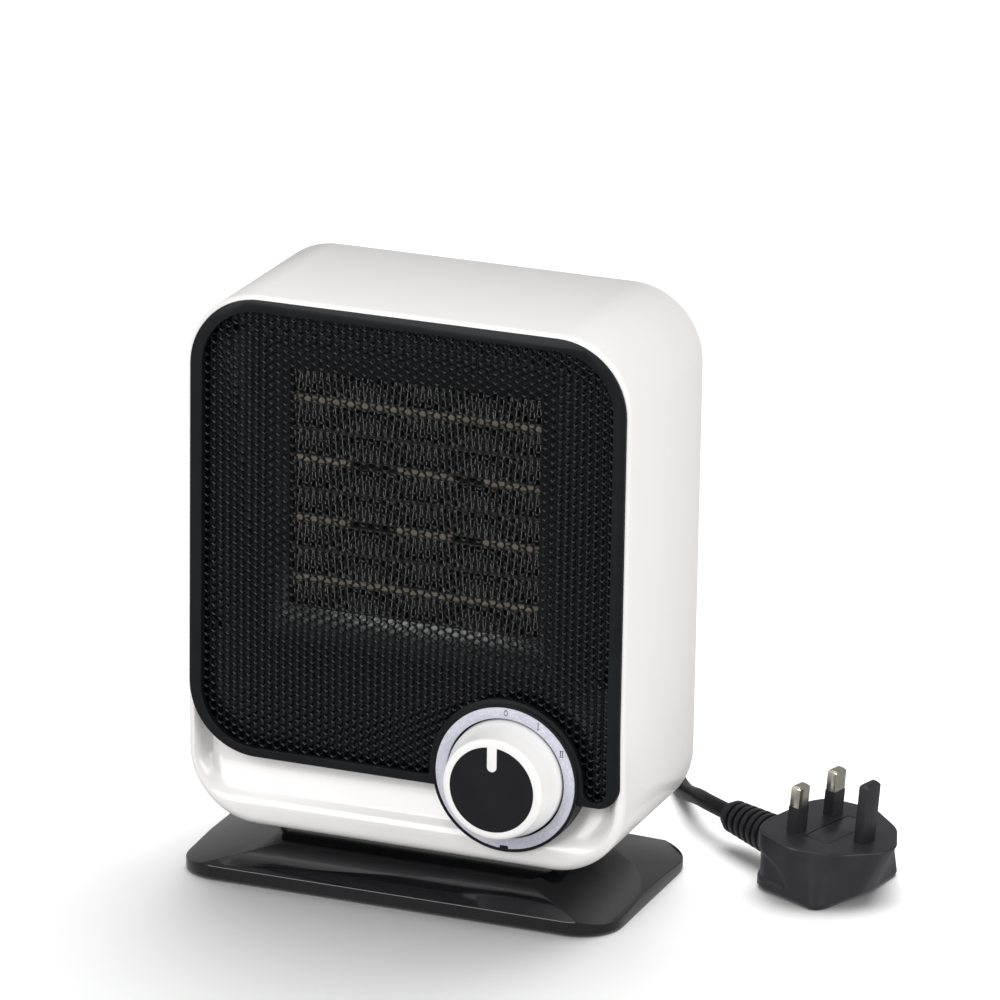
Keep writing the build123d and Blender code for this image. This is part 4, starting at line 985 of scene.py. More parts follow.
@dataclass
class PlugBody:
    """Plug moulding: a square-shouldered back that turns into a rounder pin face.

    Attributes:
        origin: the point between the live and neutral pins, on the pin face.
        yaw: the turn of the line to the earth pin, in degrees.
        drop: how far that line falls, in degrees.
        middle: how far the outlines' middle lies towards the earth pin.
        half_width: half the plug's width, near enough to place the finger grips.
        foot: height of the chamfer round the back.
        foot_slope: how far the chamfer goes in for its height.
        brow: rounding of the pin face's edge.
        window: how far round the outline a corner is rounded, in degrees.
        scoop: depth of the finger grips at the cord end.
        grip: where the finger grips are, from the origin back along the plug and from the floor.
        grip_size: their half length and height.
        grip_edge: where their edge begins and ends, as parts of that size.
        rings: count, first level and step of the even rings between the edges' finer ones.
        sides: how many flats make the moulding round.
        carrier: how far the fuse carrier's recess lies ahead, its width and its length.
        clearance: the recess's room round the carrier.
        recess_depth: its depth.
        recess_round: rounding of its corners.
        face_mm: half the outline of the pin face, from the cord's end on.
        back_mm: half the outline of the back.
    """

    origin: Point = (0.1301, 0.0442, 0.0225)
    yaw: float = -16.8
    drop: float = 4.6
    middle: float = 0.0085
    half_width: float = 0.024
    foot: float = 0.0015
    foot_slope: float = 0.8
    brow: float = 0.0010
    window: float = 6.5
    scoop: float = 0.0009
    grip: Spot = (0.014, 0.0048)
    grip_size: Spot = (0.020, 0.0115)
    grip_edge: Spot = (1.02, 0.86)
    rings: tuple[int, float, float] = (22, 0.1, 0.04)
    sides: int = 160
    carrier: Point = (0.0103, 0.0104, 0.0270)
    clearance: float = 0.0002
    recess_depth: float = 0.0016
    recess_round: float = 0.0012

    face_mm = ((-13.2, -13.0), (-9.6, -22.0), (8.0, -26.8), (23.8, -18.3), (33.8, -4.5))
    back_mm = ((-15.3, -13.0), (-9.8, -21.0), (6.0, -24.0), (20.5, -26.8), (23.3, -5.0))

    def plane(self, drop: float, height: float) -> Matrix:
        """Frame of a cross-section: X towards the earth pin, Z out of the pin face.

        Args:
            drop: how far the line to the earth pin falls, in degrees.
            height: the height of the section's origin.

        Returns:
            The frame.
        """
        turn, fall = math.radians(self.yaw), math.radians(drop)
        along = Vector(
            (math.cos(turn) * math.cos(fall), math.sin(turn) * math.cos(fall), -math.sin(fall))
        )
        across = Vector((-math.sin(turn), math.cos(turn), 0))
        axes = Matrix((along, across, along.cross(across))).transposed().to_4x4()
        return Matrix.Translation((self.origin[0], self.origin[1], height)) @ axes

    def reach(self, outline_mm: tuple[Spot, ...], angle: float) -> float:
        """Distance from the outline's middle to its edge, with the corners rounded.

        Args:
            outline_mm: one side of the outline; the other is its mirror image.
            angle: the direction.

        Returns:
            The distance.
        """
        half = [(along * MM - self.middle, across * MM) for along, across in outline_mm]
        points = half + [(x, -y) for x, y in reversed(half)]
        spread = math.radians(self.window)
        total = 0.0
        shares = (-1, -0.5, 0, 0.5, 1)
        for share in shares:
            line = (math.cos(angle + share * spread), math.sin(angle + share * spread))
            nearest = math.inf
            for (ax, ay), (bx, by) in zip(points, points[1:] + points[:1]):
                away = (bx - ax) * line[1] - (by - ay) * line[0]
                there = (ay * (bx - ax) - ax * (by - ay)) / away if away else 0.0
                nearest = min(nearest, there) if there > 0 else nearest
            total += nearest
        return total / len(shares)

    def place(self, angle: float, level: float) -> Vector:
        """Point of the moulding's side.

        Args:
            angle: its direction from the middle.
            level: from 0 at the back to 1 at the pin face.

        Returns:
            The point.
        """
        ends = []
        for outline, drop, height in (
            (self.back_mm, 0.0, 0.0),
            (self.face_mm, self.drop, self.origin[2]),
        ):
            reach = self.reach(outline, angle) - self.pull(angle, level)
            flat = Vector((self.middle + reach * math.cos(angle), reach * math.sin(angle), 0))
            ends.append(self.plane(drop, height) @ flat)
        return ends[0].lerp(ends[1], level)

    def pull(self, angle: float, level: float) -> float:
        """How far a point of the side is drawn in by the edges and the finger grips.

        Args:
            angle: its direction from the middle.
            level: from 0 at the back to 1 at the pin face.

        Returns:
            The distance.
        """
        height = level * self.origin[2]
        inwards = max(self.foot - height, 0.0) * self.foot_slope
        under = max(height - (self.origin[2] - self.brow), 0.0)
        inwards += self.brow - math.sqrt(max(self.brow**2 - under**2, 0.0))
        side = self.middle + self.half_width * math.cos(angle)
        along = (side + self.grip[0]) / self.grip_size[0]
        rise = (height - self.grip[1]) / self.grip_size[1]
        if rise > 0:
            inwards += self.scoop * smoothstep(*self.grip_edge, math.hypot(max(along, 0.0), rise))
        return inwards

    def build(self) -> Piece:
        """Make the moulding, with the recess for the fuse carrier.

        Returns:
            The moulding.
        """
        Bench.clear()
        bpy.ops.mesh.primitive_cylinder_add(vertices=self.sides, depth=1, location=(0, 0, 0.5))
        body = Bench.named("plug_moulding")
        Bench.open_up(body)
        count, first, gap = self.rings
        even = [first + gap * step for step in range(count)]
        for level in (0.02, 0.045, 0.067, *even, 0.957, 0.97, 0.982, 0.991, 0.997):
            bpy.ops.mesh.select_all(action="SELECT")
            bpy.ops.mesh.bisect(plane_co=(0, 0, level), plane_no=(0, 0, 1))
        Bench.close_up()
        for vert in body.data.vertices:
            x, y, level = vert.co
            vert.co = self.place(math.atan2(y, x), min(max(level, 0.0), 1.0))
        ahead, wide, long = self.carrier
        side, end = wide / 2 + self.clearance, long / 2 + self.clearance
        low, high = (ahead - side, -end, -self.recess_depth), (ahead + side, end, MM)
        recess = Bench.block("carrier_recess", low, high)
        Bench.soften(recess, self.recess_round, 80)
        recess.data.transform(self.plane(self.drop, self.origin[2]))
        Bench.combine(body, recess, Joinery.CUT)
        Bench.smooth(body, 40)
        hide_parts("plug_body")
        return body


@dataclass
class Plug:
    """Moulded three-pin plug lying on its back, with its bend guard.

    Attributes:
        guard_edge: rounding of the bend guard's ribs.
        guard_tip: the middle of the guard's cord end.
        guard_turn: the guard's heading from the plug, in degrees.
        swell: how much wider the moulded ribs are than the CAD ones.
        settle: how far the guard lies lower than the CAD one.
        castings: node, name, slot and edge rounding of the pieces taken from CAD.
    """

    guard_edge: float = 0.0005
    guard_tip: Point = (0.0902, 0.0658, 0.0120)
    guard_turn: float = -33.0
    swell: float = 1.13
    settle: float = 0.0004

    castings = (
        ("plug_fuse_cover", "fuse_carrier", Slot.PLUG_PVC, 0.0003),
        ("plug_pins", "live_and_neutral_pins", Slot.NICKEL_PINS, 0.0003),
        ("pin_sleeves", "pin_root_sleeves", Slot.PLUG_PVC, 0.0),
        ("earth_pin", "earth_contact", Slot.PLUG_PVC, 0.0003),
    )

    def bend_guard(self) -> Piece:
        """Make the bend guard, with its ribs as wide as the real ones.

        Returns:
            The bend guard.
        """
        guard = Bench.casting("plug_relief", "plug_bend_guard", self.guard_edge)
        tip = Vector(self.guard_tip)
        turn = Matrix.Rotation(math.radians(self.guard_turn), 4, "Z")
        widen = turn @ Matrix.Diagonal((1.0, self.swell, self.swell, 1.0)) @ turn.inverted()
        shift = Matrix.Translation(tip - Vector((0, 0, self.settle)))
        guard.data.transform(shift @ widen @ Matrix.Translation(-tip))
        return guard

    def build(self, wardrobe: Wardrobe) -> list[Piece]:
        """Make the plug's pieces.

        Args:
            wardrobe: dresses the pieces.

        Returns:
            The pieces on the lead's end.
        """
        pieces = [(PlugBody().build(), Slot.PLUG_PVC), (self.bend_guard(), Slot.PLUG_PVC)]
        for node, name, slot, width in self.castings:
            pieces.append((Bench.casting(node, name, width), slot))
        return [wardrobe.dress(piece, slot, "heater") for piece, slot in pieces]


# ------------------------------------------------------------------------------ casing
@dataclass
class Casing:
    """White moulded case with a dished chin under the bezel.

    Attributes:
        low: its lowest corner.
        high: its highest corner.
        corner: radius of its corners, seen from the front.
        wall: thickness of its wall.
        rim: rounding of its front edge along the top and sides.
        chin_rim: rounding of its front edge along the bottom.
        chin_top: heights between which the one rounding becomes the other.
        back_rim: rounding of its back edge.
        dish_depth: how far the chin is dished.
        dish_low: height where the dish starts.
        dish_high: height where the dish is deepest.
        dish_top: heights between which the dish fades out.
        dish_sides: how far from the outline the dish starts and is at its full depth.
        cuts: first height and step of the cuts that carry the shape up the front.
        insets_mm: widths of the rings round the front.
        column_radius: radius of the screw columns.
        column_fronts: how far the lowest and the other columns start behind the front.
        column_places: where the columns stand on the right, in X and Z.
        hole: radius and depth of the holes in them.
        web: half the thickness of the webs that tie them to the wall.
    """

    low: Point = tuple(Vector(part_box("housing_shell")[0]) - Vector((0, 0, 0.0016)))
    high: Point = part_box("housing_shell")[1]
    corner: float = 0.027
    wall: float = 0.0026
    rim: float = 0.0018
    chin_rim: float = 0.0040
    chin_top: Spot = (0.050, 0.080)
    back_rim: float = 0.0014
    dish_depth: float = 0.0083
    dish_low: float = 0.0252
    dish_high: float = 0.0465
    dish_top: Spot = (0.062, 0.086)
    dish_sides: Spot = (0.0020, 0.0085)
    cuts: Spot = (0.0485, 0.003)
    column_radius: float = 0.0040
    column_fronts: Spot = (0.0109, 0.0058)
    hole: Spot = (0.0014, 0.009)
    web: float = 0.0006

    insets_mm = (
        *(0.3, 0.4, 0.5, 0.8, 0.8, 0.8, 1.0, 1.2, 1.4, 1.6, 1.7),
        *(2.0, 2.0, 2.5, 2.5, 2.5, 2.5, 2.0),
    )
    column_places = ((0.0698, 0.2033), (0.0758, 0.0920), (0.0698, 0.0337))

    def inside(self, x: float, z: float) -> float:
        """Distance of a point of the front from the case's outline, inwards.

        Args:
            x: its place across the case.
            z: its height.

        Returns:
            The distance.
        """
        half, middle = self.high[0], (self.low[2] + self.high[2]) / 2
        across = abs(x) - (half - self.corner)
        along = abs(z - middle) - (self.high[2] - middle - self.corner)
        outside = math.hypot(max(across, 0.0), max(along, 0.0))
        return self.corner - outside - min(max(across, along), 0.0)

    def depth(self, x: float, z: float) -> float:
        """How far the front lies behind its foremost plane at a point.

        Args:
            x: its place across the case.
            z: its height.

        Returns:
            The depth.
        """
        inside = self.inside(x, z)
        chin = 1.0 - smoothstep(*self.chin_top, z)
        rim = self.rim + (self.chin_rim - self.rim) * chin
        edge = max(rim - inside, 0.0)
        rounding = rim - math.sqrt(max(rim * rim - edge * edge, 0.0))
        rise = min(max((z - self.dish_low) / (self.dish_high - self.dish_low), 0.0), 1.0)
        dish = self.dish_depth * math.sin(rise * math.pi / 2) * smoothstep(0.0, 0.25, rise)
        fade = 1.0 - smoothstep(*self.dish_top, z)
        return rounding + dish * fade * smoothstep(*self.dish_sides, inside)

    def shaped_block(self) -> Piece:
        """Model the solid case with its rounded outline and its dished front.

        Returns:
            The solid.
        """
        shell = Bench.block("case_shell", self.low, self.high)
        Bench.open_up(shell)
        Bench.pick(shell, Part.EDGES, lambda edge: Bench.runs_along(edge, 1))
        bpy.ops.mesh.bevel(offset=self.corner, segments=20, affect="EDGES", clamp_overlap=False)
        for step in range(14):
            bpy.ops.mesh.select_all(action="SELECT")
            height = self.cuts[0] + self.cuts[1] * step
            bpy.ops.mesh.bisect(plane_co=(0, 0, height), plane_no=(0, 0, 1))
        Bench.pick(shell, Part.FACES, lambda f: f.normal.y < -0.9)
        bpy.ops.mesh.dissolve_faces()
        for step in self.insets_mm:
            bpy.ops.mesh.inset(thickness=step * MM)
        mesh = bmesh.from_edit_mesh(shell.data)
        for vert in mesh.verts:
            if vert.co.y < self.low[1] + 1e-5:
                vert.co.y += self.depth(vert.co.x, vert.co.z)
        bmesh.update_edit_mesh(shell.data)

        def round_back(edge: bmesh.types.BMEdge) -> bool:
            """Whether an edge lies round the back."""
            behind = all(vert.co.y > self.high[1] - 1e-5 for vert in edge.verts)
            return behind and any(face.normal.y < 0.5 for face in edge.link_faces)

        Bench.pick(shell, Part.EDGES, round_back)
        bpy.ops.mesh.bevel(offset=self.back_rim, segments=3, affect="EDGES")
        Bench.close_up()
        return shell

    def rounded_prism(self, name: str, inset: float, front: float, back: float) -> Piece:
        """Model a prism along Y with the case's outline, pulled in.

        Args:
            name: the prism's name.
            inset: how far its outline is pulled in.
            front: where it starts along Y.
            back: where it ends along Y.

        Returns:
            The prism.
        """
        low = (self.low[0] + inset, front, self.low[2] + inset)
        high = (self.high[0] - inset, back, self.high[2] - inset)
        prism = Bench.block(name, low, high)
        Bench.round_block(prism, 1, self.corner - inset, 20)
        return prism

    def column(self, x: float, z: float) -> Piece:
        """Model one screw column with the web that ties it to the side wall.

        Args:
            x: its place across the case.
            z: its height.

        Returns:
            The column.
        """
        front = self.low[1] + self.column_fronts[z > 0.045]
        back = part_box("rear_cover")[0][1]
        column = Bench.rod("screw_column", (x, front, z), (x, back, z), self.column_radius, 24)
        half, middle = self.high[0], (self.low[2] + self.high[2]) / 2
        above = max(abs(z - middle) + self.web - (self.high[2] - middle - self.corner), 0.0)
        curve = self.corner - MM
        reach = math.copysign(half - self.corner + math.sqrt(curve**2 - above**2), x)
        web = Bench.block(
            "column_web",
            (min(x, reach), max(front, CAVITY_FRONT), z - self.web),
            (max(x, reach), back, z + self.web),
        )
        radius, depth = self.hole
        hole = Bench.rod("screw_hole", (x, back - depth, z), (x, back + MM, z), radius, 16)
        Bench.combine(column, hole, Joinery.CUT)
        return Bench.join("screw_column", [column, web])

    def build(self, wardrobe: Wardrobe, opening: Piece) -> None:
        """Make the case.

        Args:
            wardrobe: dresses the pieces.
            opening: the prism that lets the bezel in, which is used up.
        """
        shell = self.shaped_block()
        cavity = self.rounded_prism("cavity", self.wall, CAVITY_FRONT, self.high[1] + 0.01)
        Bench.combine(shell, cavity, Joinery.CUT)
        Bench.combine(shell, opening, Joinery.CUT)
        columns = [self.column(side * x, z) for side in (-1, 1) for x, z in self.column_places]
        shell = Bench.join("case_shell", [shell, *columns])
        Bench.smooth(shell, 28)
        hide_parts("housing_shell")
        wardrobe.dress(shell, Slot.WHITE_ABS, "heater")


@dataclass
class Bezel:
    """Black frame round the mesh, with the dial's boss.

    Attributes:
        half: half its width.
        low: its lowest level.
        high: its highest level.
        corner: radius of its corners.
        short_corner: radius of the corner beside the dial.
        span: how far the opening for it reaches, from front to back.
        boss: the boss's middle, in X and Z.
        boss_radius: the boss's radius.
        edge: rounding of its edges.
    """

    half: float = 0.0825
    low: float = 0.0450
    high: float = 0.2158
    corner: float = 0.026
    short_corner: float = 0.008
    span: Spot = (-0.040, -0.0200)
    boss: Spot = DIAL_CENTRE
    boss_radius: float = 0.0276
    edge: float = 0.0006

    def opening(self, grow: float) -> Piece:
        """Model the prism that the case is cut away by.

        Args:
            grow: the clearance round the bezel.

        Returns:
            The prism.
        """
        front, back = self.span
        low = (-self.half - grow, front, self.low - grow)
        high = (self.half + grow, back, self.high + grow)
        prism = Bench.block("bezel_opening", low, high)

        def corner(edge: bmesh.types.BMEdge, beside_dial: bool) -> bool:
            """Whether an edge is the corner beside the dial, or one of the others.

            Args:
                edge: the edge.
                beside_dial: whether the corner beside the dial is looked for.

            Returns:
                Whether it is.
            """
            place = edge.verts[0].co
            level = min(abs(place.z - low[2]), abs(place.z - high[2]))
            short = place.x > 0.08 and place.z < 0.06
            at_corner = abs(place.x) > 0.08 and level < 1e-5
            return Bench.runs_along(edge, 1) and at_corner and short == beside_dial

        for beside_dial, radius in ((False, self.corner), (True, self.short_corner)):
            Bench.open_up(prism)
            Bench.pick(prism, Part.EDGES, lambda edge: corner(edge, beside_dial))
            bpy.ops.mesh.bevel(
                offset=radius + grow, segments=16, affect="EDGES", clamp_overlap=False
            )
            Bench.close_up()
        ends = [(self.boss[0], y, self.boss[1]) for y in (front - MM / 2, back + MM / 2)]
        boss = Bench.rod("boss_opening", *ends, self.boss_radius + grow, 96)
        Bench.combine(prism, boss, Joinery.FUSE)
        return prism

    def build(self, wardrobe: Wardrobe) -> None:
        """Make the bezel from its clean casting."""
        bezel = Bench.casting("front_bezel", "mesh_bezel", width=self.edge)
        wardrobe.dress(bezel, Slot.BLACK_SATIN_ABS, "heater")


@dataclass
class Mesh:
    """Pressed steel mesh of staggered six-sided holes with rounded webs.

    Attributes:
        pitch: distance of holes down a column.
        spacing: distance of the columns.
        web: width of the web between holes.
        crown: how far the webs stand proud of the holes' edges.
        thickness: the sheet's thickness.
        lap: how far the mesh reaches under the bezel.
        half: half the width of the bezel's window.
        low: the window's lowest level, left of the dial.
        pocket_low: its lowest level beside the dial.
        high: its highest level.
        corner: radius of its corners.
        pocket_round: radius of its corner beside the dial.
        boss: the dial's middle, in X and Z.
        boss_opening: radius of the boss that the mesh stops at.
        merge: corners nearer than this are one corner.
        arc_cuts: cuts that round a corner.
        circle_cuts: cuts round the boss.
    """

    pitch: float = 0.00328
    spacing: float = 0.00274
    web: float = 0.0008
    crown: float = 0.00034
    thickness: float = 0.0007
    lap: float = 0.0010
    half: float = 0.0780
    low: float = 0.0482
    pocket_low: float = 0.0469
    high: float = 0.2117
    corner: float = 0.0215
    pocket_round: float = 0.0042
    boss: Spot = DIAL_CENTRE
    boss_opening: float = 0.0292
    merge: float = 0.00002
    arc_cuts: int = 8
    circle_cuts: int = 40

    def cell(self) -> Piece:
        """Model one column's hole and its neighbour's, with the webs round them.

        Returns:
            The pair of holes.
        """
        holes = []
        radius = self.spacing / 1.5
        stretch = self.pitch / (2 * radius * math.cos(math.pi / 6))
        for column in (0, 1):
            at = (column * self.spacing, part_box("front_grille")[0][1], column * self.pitch / 2)
            Bench.clear()
            bpy.ops.mesh.primitive_circle_add(
                vertices=6,
                radius=radius,
                fill_type="NGON",
                location=at,
                rotation=(math.pi / 2, 0, 0),
            )
            holes.append(Bench.named("mesh_hole"))
            Bench.open_up(holes[-1], "SELECT")
            bpy.ops.transform.resize(value=(1, 1, stretch), center_override=at)
            self.shape_web()
        return Bench.join("mesh_pair", holes)

    def shape_web(self) -> None:
        """Give a hole its web: a proud middle line, a rounding and the hole's edge."""
        for share, drop in ((0.5, 0.25), (0.5, 0.75)):
            bpy.ops.mesh.inset(thickness=self.web / 2 * share)
            bpy.ops.transform.translate(value=(0, self.crown * drop, 0))
        bpy.ops.mesh.delete(type="FACE")
        Bench.close_up()

    def trim(
        self,
        sheet: Piece,
        at: Point,
        outward: Point,
        near: Callable[..., bool] = bool,
        clear: bool = True,
    ) -> None:
        """Cut the sheet along a plane.

        Args:
            sheet: the sheet.
            at: a point of the plane.
            outward: the side that is taken away.
            near: says whether a face is cut at all; every face passes if it is left out.
            clear: whether that side is taken away at once.
        """
        Bench.open_up(sheet)
        if Bench.pick(sheet, Part.FACES, near):
            bpy.ops.mesh.bisect(plane_co=at, plane_no=outward, clear_outer=clear)
        Bench.close_up()

    def round_off(self, sheet: Piece, centre: Spot, radius: float, side: Spot) -> None:
        """Round one corner of the sheet by cuts along the arc's tangents.

        Args:
            sheet: the sheet.
            centre: the arc's centre in X and Z.
            radius: the arc's radius.
            side: the signs of the corner's direction in X and Z.
        """

        def near(face: bmesh.types.BMFace) -> bool:
            """Whether a face lies at this corner."""
            place = face.calc_center_median()
            beyond = ((place.x - centre[0]) * side[0], (place.z - centre[1]) * side[1])
            return min(beyond) > -2 * MM

        for step in range(1, self.arc_cuts + 1):
            angle = math.pi / 2 * step / (self.arc_cuts + 1)
            out = (side[0] * math.cos(angle), 0.0, side[1] * math.sin(angle))
            at = (centre[0] + out[0] * radius, 0.0, centre[1] + out[2] * radius)
            self.trim(sheet, at, out, near)

    def clear_dial(self, sheet: Piece) -> None:
        """Cut the sheet round the dial's boss and take the disc out.

        Args:
            sheet: the sheet.
        """
        radius = self.boss_opening - self.lap
        centre = Vector((self.boss[0], 0.0, self.boss[1]))
        stretch = math.cos(math.pi / self.circle_cuts * 1.6)

        def from_centre(face: bmesh.types.BMFace) -> Vector:
            """Line from the dial's middle to a face, flat in the sheet."""
            return (face.calc_center_median() - centre) * Vector((1, 0, 1))

        for step in range(self.circle_cuts):
            angle = math.tau * step / self.circle_cuts
            out = Vector((math.cos(angle), 0.0, math.sin(angle)))

            def beside(face: bmesh.types.BMFace) -> bool:
                """Whether a face lies across this stretch of the circle."""
                line = from_centre(face)
                near = abs(line.length - radius) < 3 * MM
                return near and line.dot(out) > line.length * stretch

            self.trim(sheet, centre + out * radius, out, beside, clear=False)
        Bench.open_up(sheet)
        Bench.pick(sheet, Part.FACES, lambda face: from_centre(face).length < radius)
        bpy.ops.mesh.delete(type="FACE")
        Bench.close_up()

    def build(self, wardrobe: Wardrobe) -> None:
        """Make the mesh sheet.

        Args:
            wardrobe: dresses the pieces.
        """
        sheet = self.cell()
        rows = math.ceil((self.high - self.pocket_low + 2 * self.lap) / self.pitch) + 2
        columns = math.ceil((self.half + self.lap) / self.spacing) + 1
        for count, offset in (
            (rows, (0.0, 0.0, self.pitch)),
            (columns, (2 * self.spacing, 0.0, 0.0)),
        ):
            Bench.modify(
                sheet,
                "ARRAY",
                count=count,
                use_relative_offset=False,
                use_constant_offset=True,
                constant_offset_displace=offset,
                use_merge_vertices=True,
                merge_threshold=self.merge,
            )
        start = (-columns * self.spacing, 0.0, self.pocket_low - 2 * self.pitch)
        sheet.data.transform(Matrix.Translation(start))
        Bench.tidy(sheet, self.merge, outward=False)
        lap, low, half = self.lap, self.low, self.half
        self.trim(sheet, (-half - lap, 0, 0), (-1, 0, 0))
        self.trim(sheet, (half + lap, 0, 0), (1, 0, 0))
        self.trim(sheet, (0, 0, self.high + lap), (0, 0, 1))
        self.trim(sheet, (0, 0, self.pocket_low - lap), (0, 0, -1))
        left = self.boss[0] - 10 * MM
        self.trim(
            sheet, (0, 0, low - lap), (0, 0, -1), lambda face: face.calc_center_median().x < left
        )
        inner = half - self.corner
        for side in (-1, 1):
            centre = (side * inner, self.high - self.corner)
            self.round_off(sheet, centre, self.corner + lap, (side, 1))
        self.round_off(sheet, (-inner, low + self.corner), self.corner + lap, (-1, -1))
        pocket = (half - self.pocket_round, self.pocket_low + self.pocket_round)
        self.round_off(sheet, pocket, self.pocket_round + lap, (1, -1))
        self.clear_dial(sheet)
        Bench.modify(sheet, "SOLIDIFY", thickness=self.thickness, offset=-1.0, use_rim=True)
        Bench.smooth(sheet, 50)
        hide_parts("front_grille")
        wardrobe.dress(sheet, Slot.BLACK_SHEET, "heater")


@dataclass
class Dial:
    """Dial numerals and the knob's parts.

    Attributes:
        centre: the dial's middle, in X and Z.
        radius: how far the numerals stand from it.
        height: their height.
        stroke: width of their strokes.
        gap: distance of a numeral's strokes.
        proud: thickness of the print.
        castings: node, name, slot, body, edge rounding and its segments of the other pieces.
    """

    centre: Spot = DIAL_CENTRE
    radius: float = 0.0246
    height: float = 0.0023
    stroke: float = 0.00022
    gap: float = 0.0008
    proud: float = 0.00006

    castings = (
        ("knob", "control_knob", Slot.WHITE_KNOB, "knob", 0.0009, 4),
        ("dial_ring", "dial_face", Slot.SILVER_DIAL, "heater", 0.00015, 2),
    )

    def bar(self, x: float, z: float, wide: float, high: float) -> Piece:
        """Model one stroke of a numeral, printed on the ring's face.

        Args:
            x: its middle across.
            z: its middle's height.
            wide: its width.
            high: its length.

        Returns:
            The stroke.
        """
        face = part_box("dial_ring")[0][1]
        low = (x - wide / 2, face - self.proud, z - high / 2)
        return Bench.block("stroke", low, (x + wide / 2, face, z + high / 2))

    def zero(self, x: float, z: float) -> Piece:
        """Model the numeral 0 as an oval ring.

        Args:
            x: its middle across.
            z: its middle's height.

        Returns:
            The numeral.
        """
        ring = Bench.rod("zero", (0, -self.proud, 0), (0, 0, 0), 1.0, 40)
        Bench.open_up(ring)
        Bench.pick(ring, Part.FACES, lambda f: abs(f.normal.y) > 0.9)
        bpy.ops.mesh.inset(thickness=0.26)
        bpy.ops.mesh.bridge_edge_loops()
        Bench.close_up()
        scale = Matrix.Diagonal((self.height * 0.3, 1.0, self.height / 2, 1.0))
        ring.data.transform(Matrix.Translation((x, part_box("dial_ring")[0][1], z)) @ scale)
        return ring

    def build(self, wardrobe: Wardrobe) -> None:
        """Make the numerals, the knob and the dial ring.

        Args:
            wardrobe: dresses the pieces.
        """
        strokes = []
        for mark, degrees in enumerate((0, 30, 60)):
            angle = math.radians(degrees)
            x = self.centre[0] + self.radius * math.sin(angle)
            z = self.centre[1] + self.radius * math.cos(angle)
            if mark == 0:
                strokes.append(self.zero(x, z))
                continue
            for index in range(mark):
                middle = x + (index - (mark - 1) / 2) * self.gap
                strokes.append(self.bar(middle, z, self.stroke, self.height))
            serif = mark * self.gap
            for end in (-1, 1):
                strokes.append(self.bar(x, z + end * self.height / 2, serif, self.stroke * 0.7))
        numerals = Bench.join("dial_numerals", strokes)
        wardrobe.dress(numerals, Slot.BLACK_CAP, "heater")
        for node, name, slot, body, width, segments in self.castings:
            wardrobe.dress(Bench.casting(node, name, width, segments), slot, body)


@dataclass
class Fins:
    """Corrugated aluminium strips of the heating element.

    Attributes:
        fold: distance of the folds.
        sheet: thickness of the strip.
        lean: how much each fold leans, as a part of its half width.
        edge: depth of the sheared front edge, which carries the painted highlight.
    """

    fold: float = 0.00130
    sheet: float = 0.00018
    lean: float = 0.30
    edge: float = 0.0003

    def strip(self, low: Point, high: Point) -> Piece:
        """Model one folded strip that fills a CAD block.

        Args:
            low: the block's lowest corner.
            high: the block's highest corner.

        Returns:
            The strip.
        """
        folds = round((high[0] - low[0]) / self.fold)
        Bench.clear()
        bpy.ops.mesh.primitive_grid_add(
            x_subdivisions=folds * 2,
            y_subdivisions=1,
            size=1,
            location=[(a + b) / 2 for a, b in zip(low, high)],
        )
        bpy.context.active_object.scale = (high[0] - low[0], high[1] - low[1], 1)
        strip = Bench.named("folded_strip")
        Bench.open_up(strip)
        width = (high[0] - low[0]) / (folds * 2)
        reach = (high[2] - low[2]) / 2 - self.sheet

        def crest(vert: bmesh.types.BMVert) -> bool:
            """Whether a corner lies on an upper fold."""
            return round((vert.co.x - low[0]) / width) % 4 < 2

        Bench.pick(strip, Part.CORNERS, crest)
        bpy.ops.transform.translate(value=(0, 0, 2 * reach))
        bpy.ops.mesh.select_all(action="SELECT")
        bpy.ops.transform.translate(value=(0, 0, -reach))
        Bench.pick(strip, Part.CORNERS, lambda v: round((v.co.x - low[0]) / width) % 2 == 1)
        bpy.ops.transform.translate(value=(-width * self.lean, 0, 0))
        Bench.close_up()
        Bench.modify(strip, "SOLIDIFY", thickness=self.sheet, offset=0.0)
        return strip

    def build(self, wardrobe: Wardrobe) -> None:
        """Make the element's strips, one in the room of each CAD block, in the painted-shade dark
        aluminium, and their front edges in a painted highlight.

        Args:
            wardrobe: dresses the pieces.
        """
        low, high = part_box("element_fins")
        front = low[1] + self.edge
        made = []
        for name, near, far in (
            ("element_strips", front, high[1]),
            ("strip_front_edges", low[1], front),
        ):
            strips = [self.strip((low[0], near, a), (high[0], far, b)) for a, b in self.blocks()]
            made.append(wardrobe.dress(Bench.join(name, strips), Slot.FIN_ALUMINIUM, "heater"))
        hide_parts("element_fins")
        # the front slices take the pale painted highlight; the strips behind keep the dark
        # painted-shade aluminium
        made[1].data.materials[0] = SHEARED_EDGE_PAINTED_HIGHLIGHT.build()

    def blocks(self) -> list[Spot]:
        """Lowest and highest level of each CAD block of fins.

        Returns:
            The levels, from the lowest block up.
        """
        heights = sorted({round(v.co.z, 5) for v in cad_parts["element_fins"].data.vertices})
        return list(zip(heights[0::2], heights[1::2]))


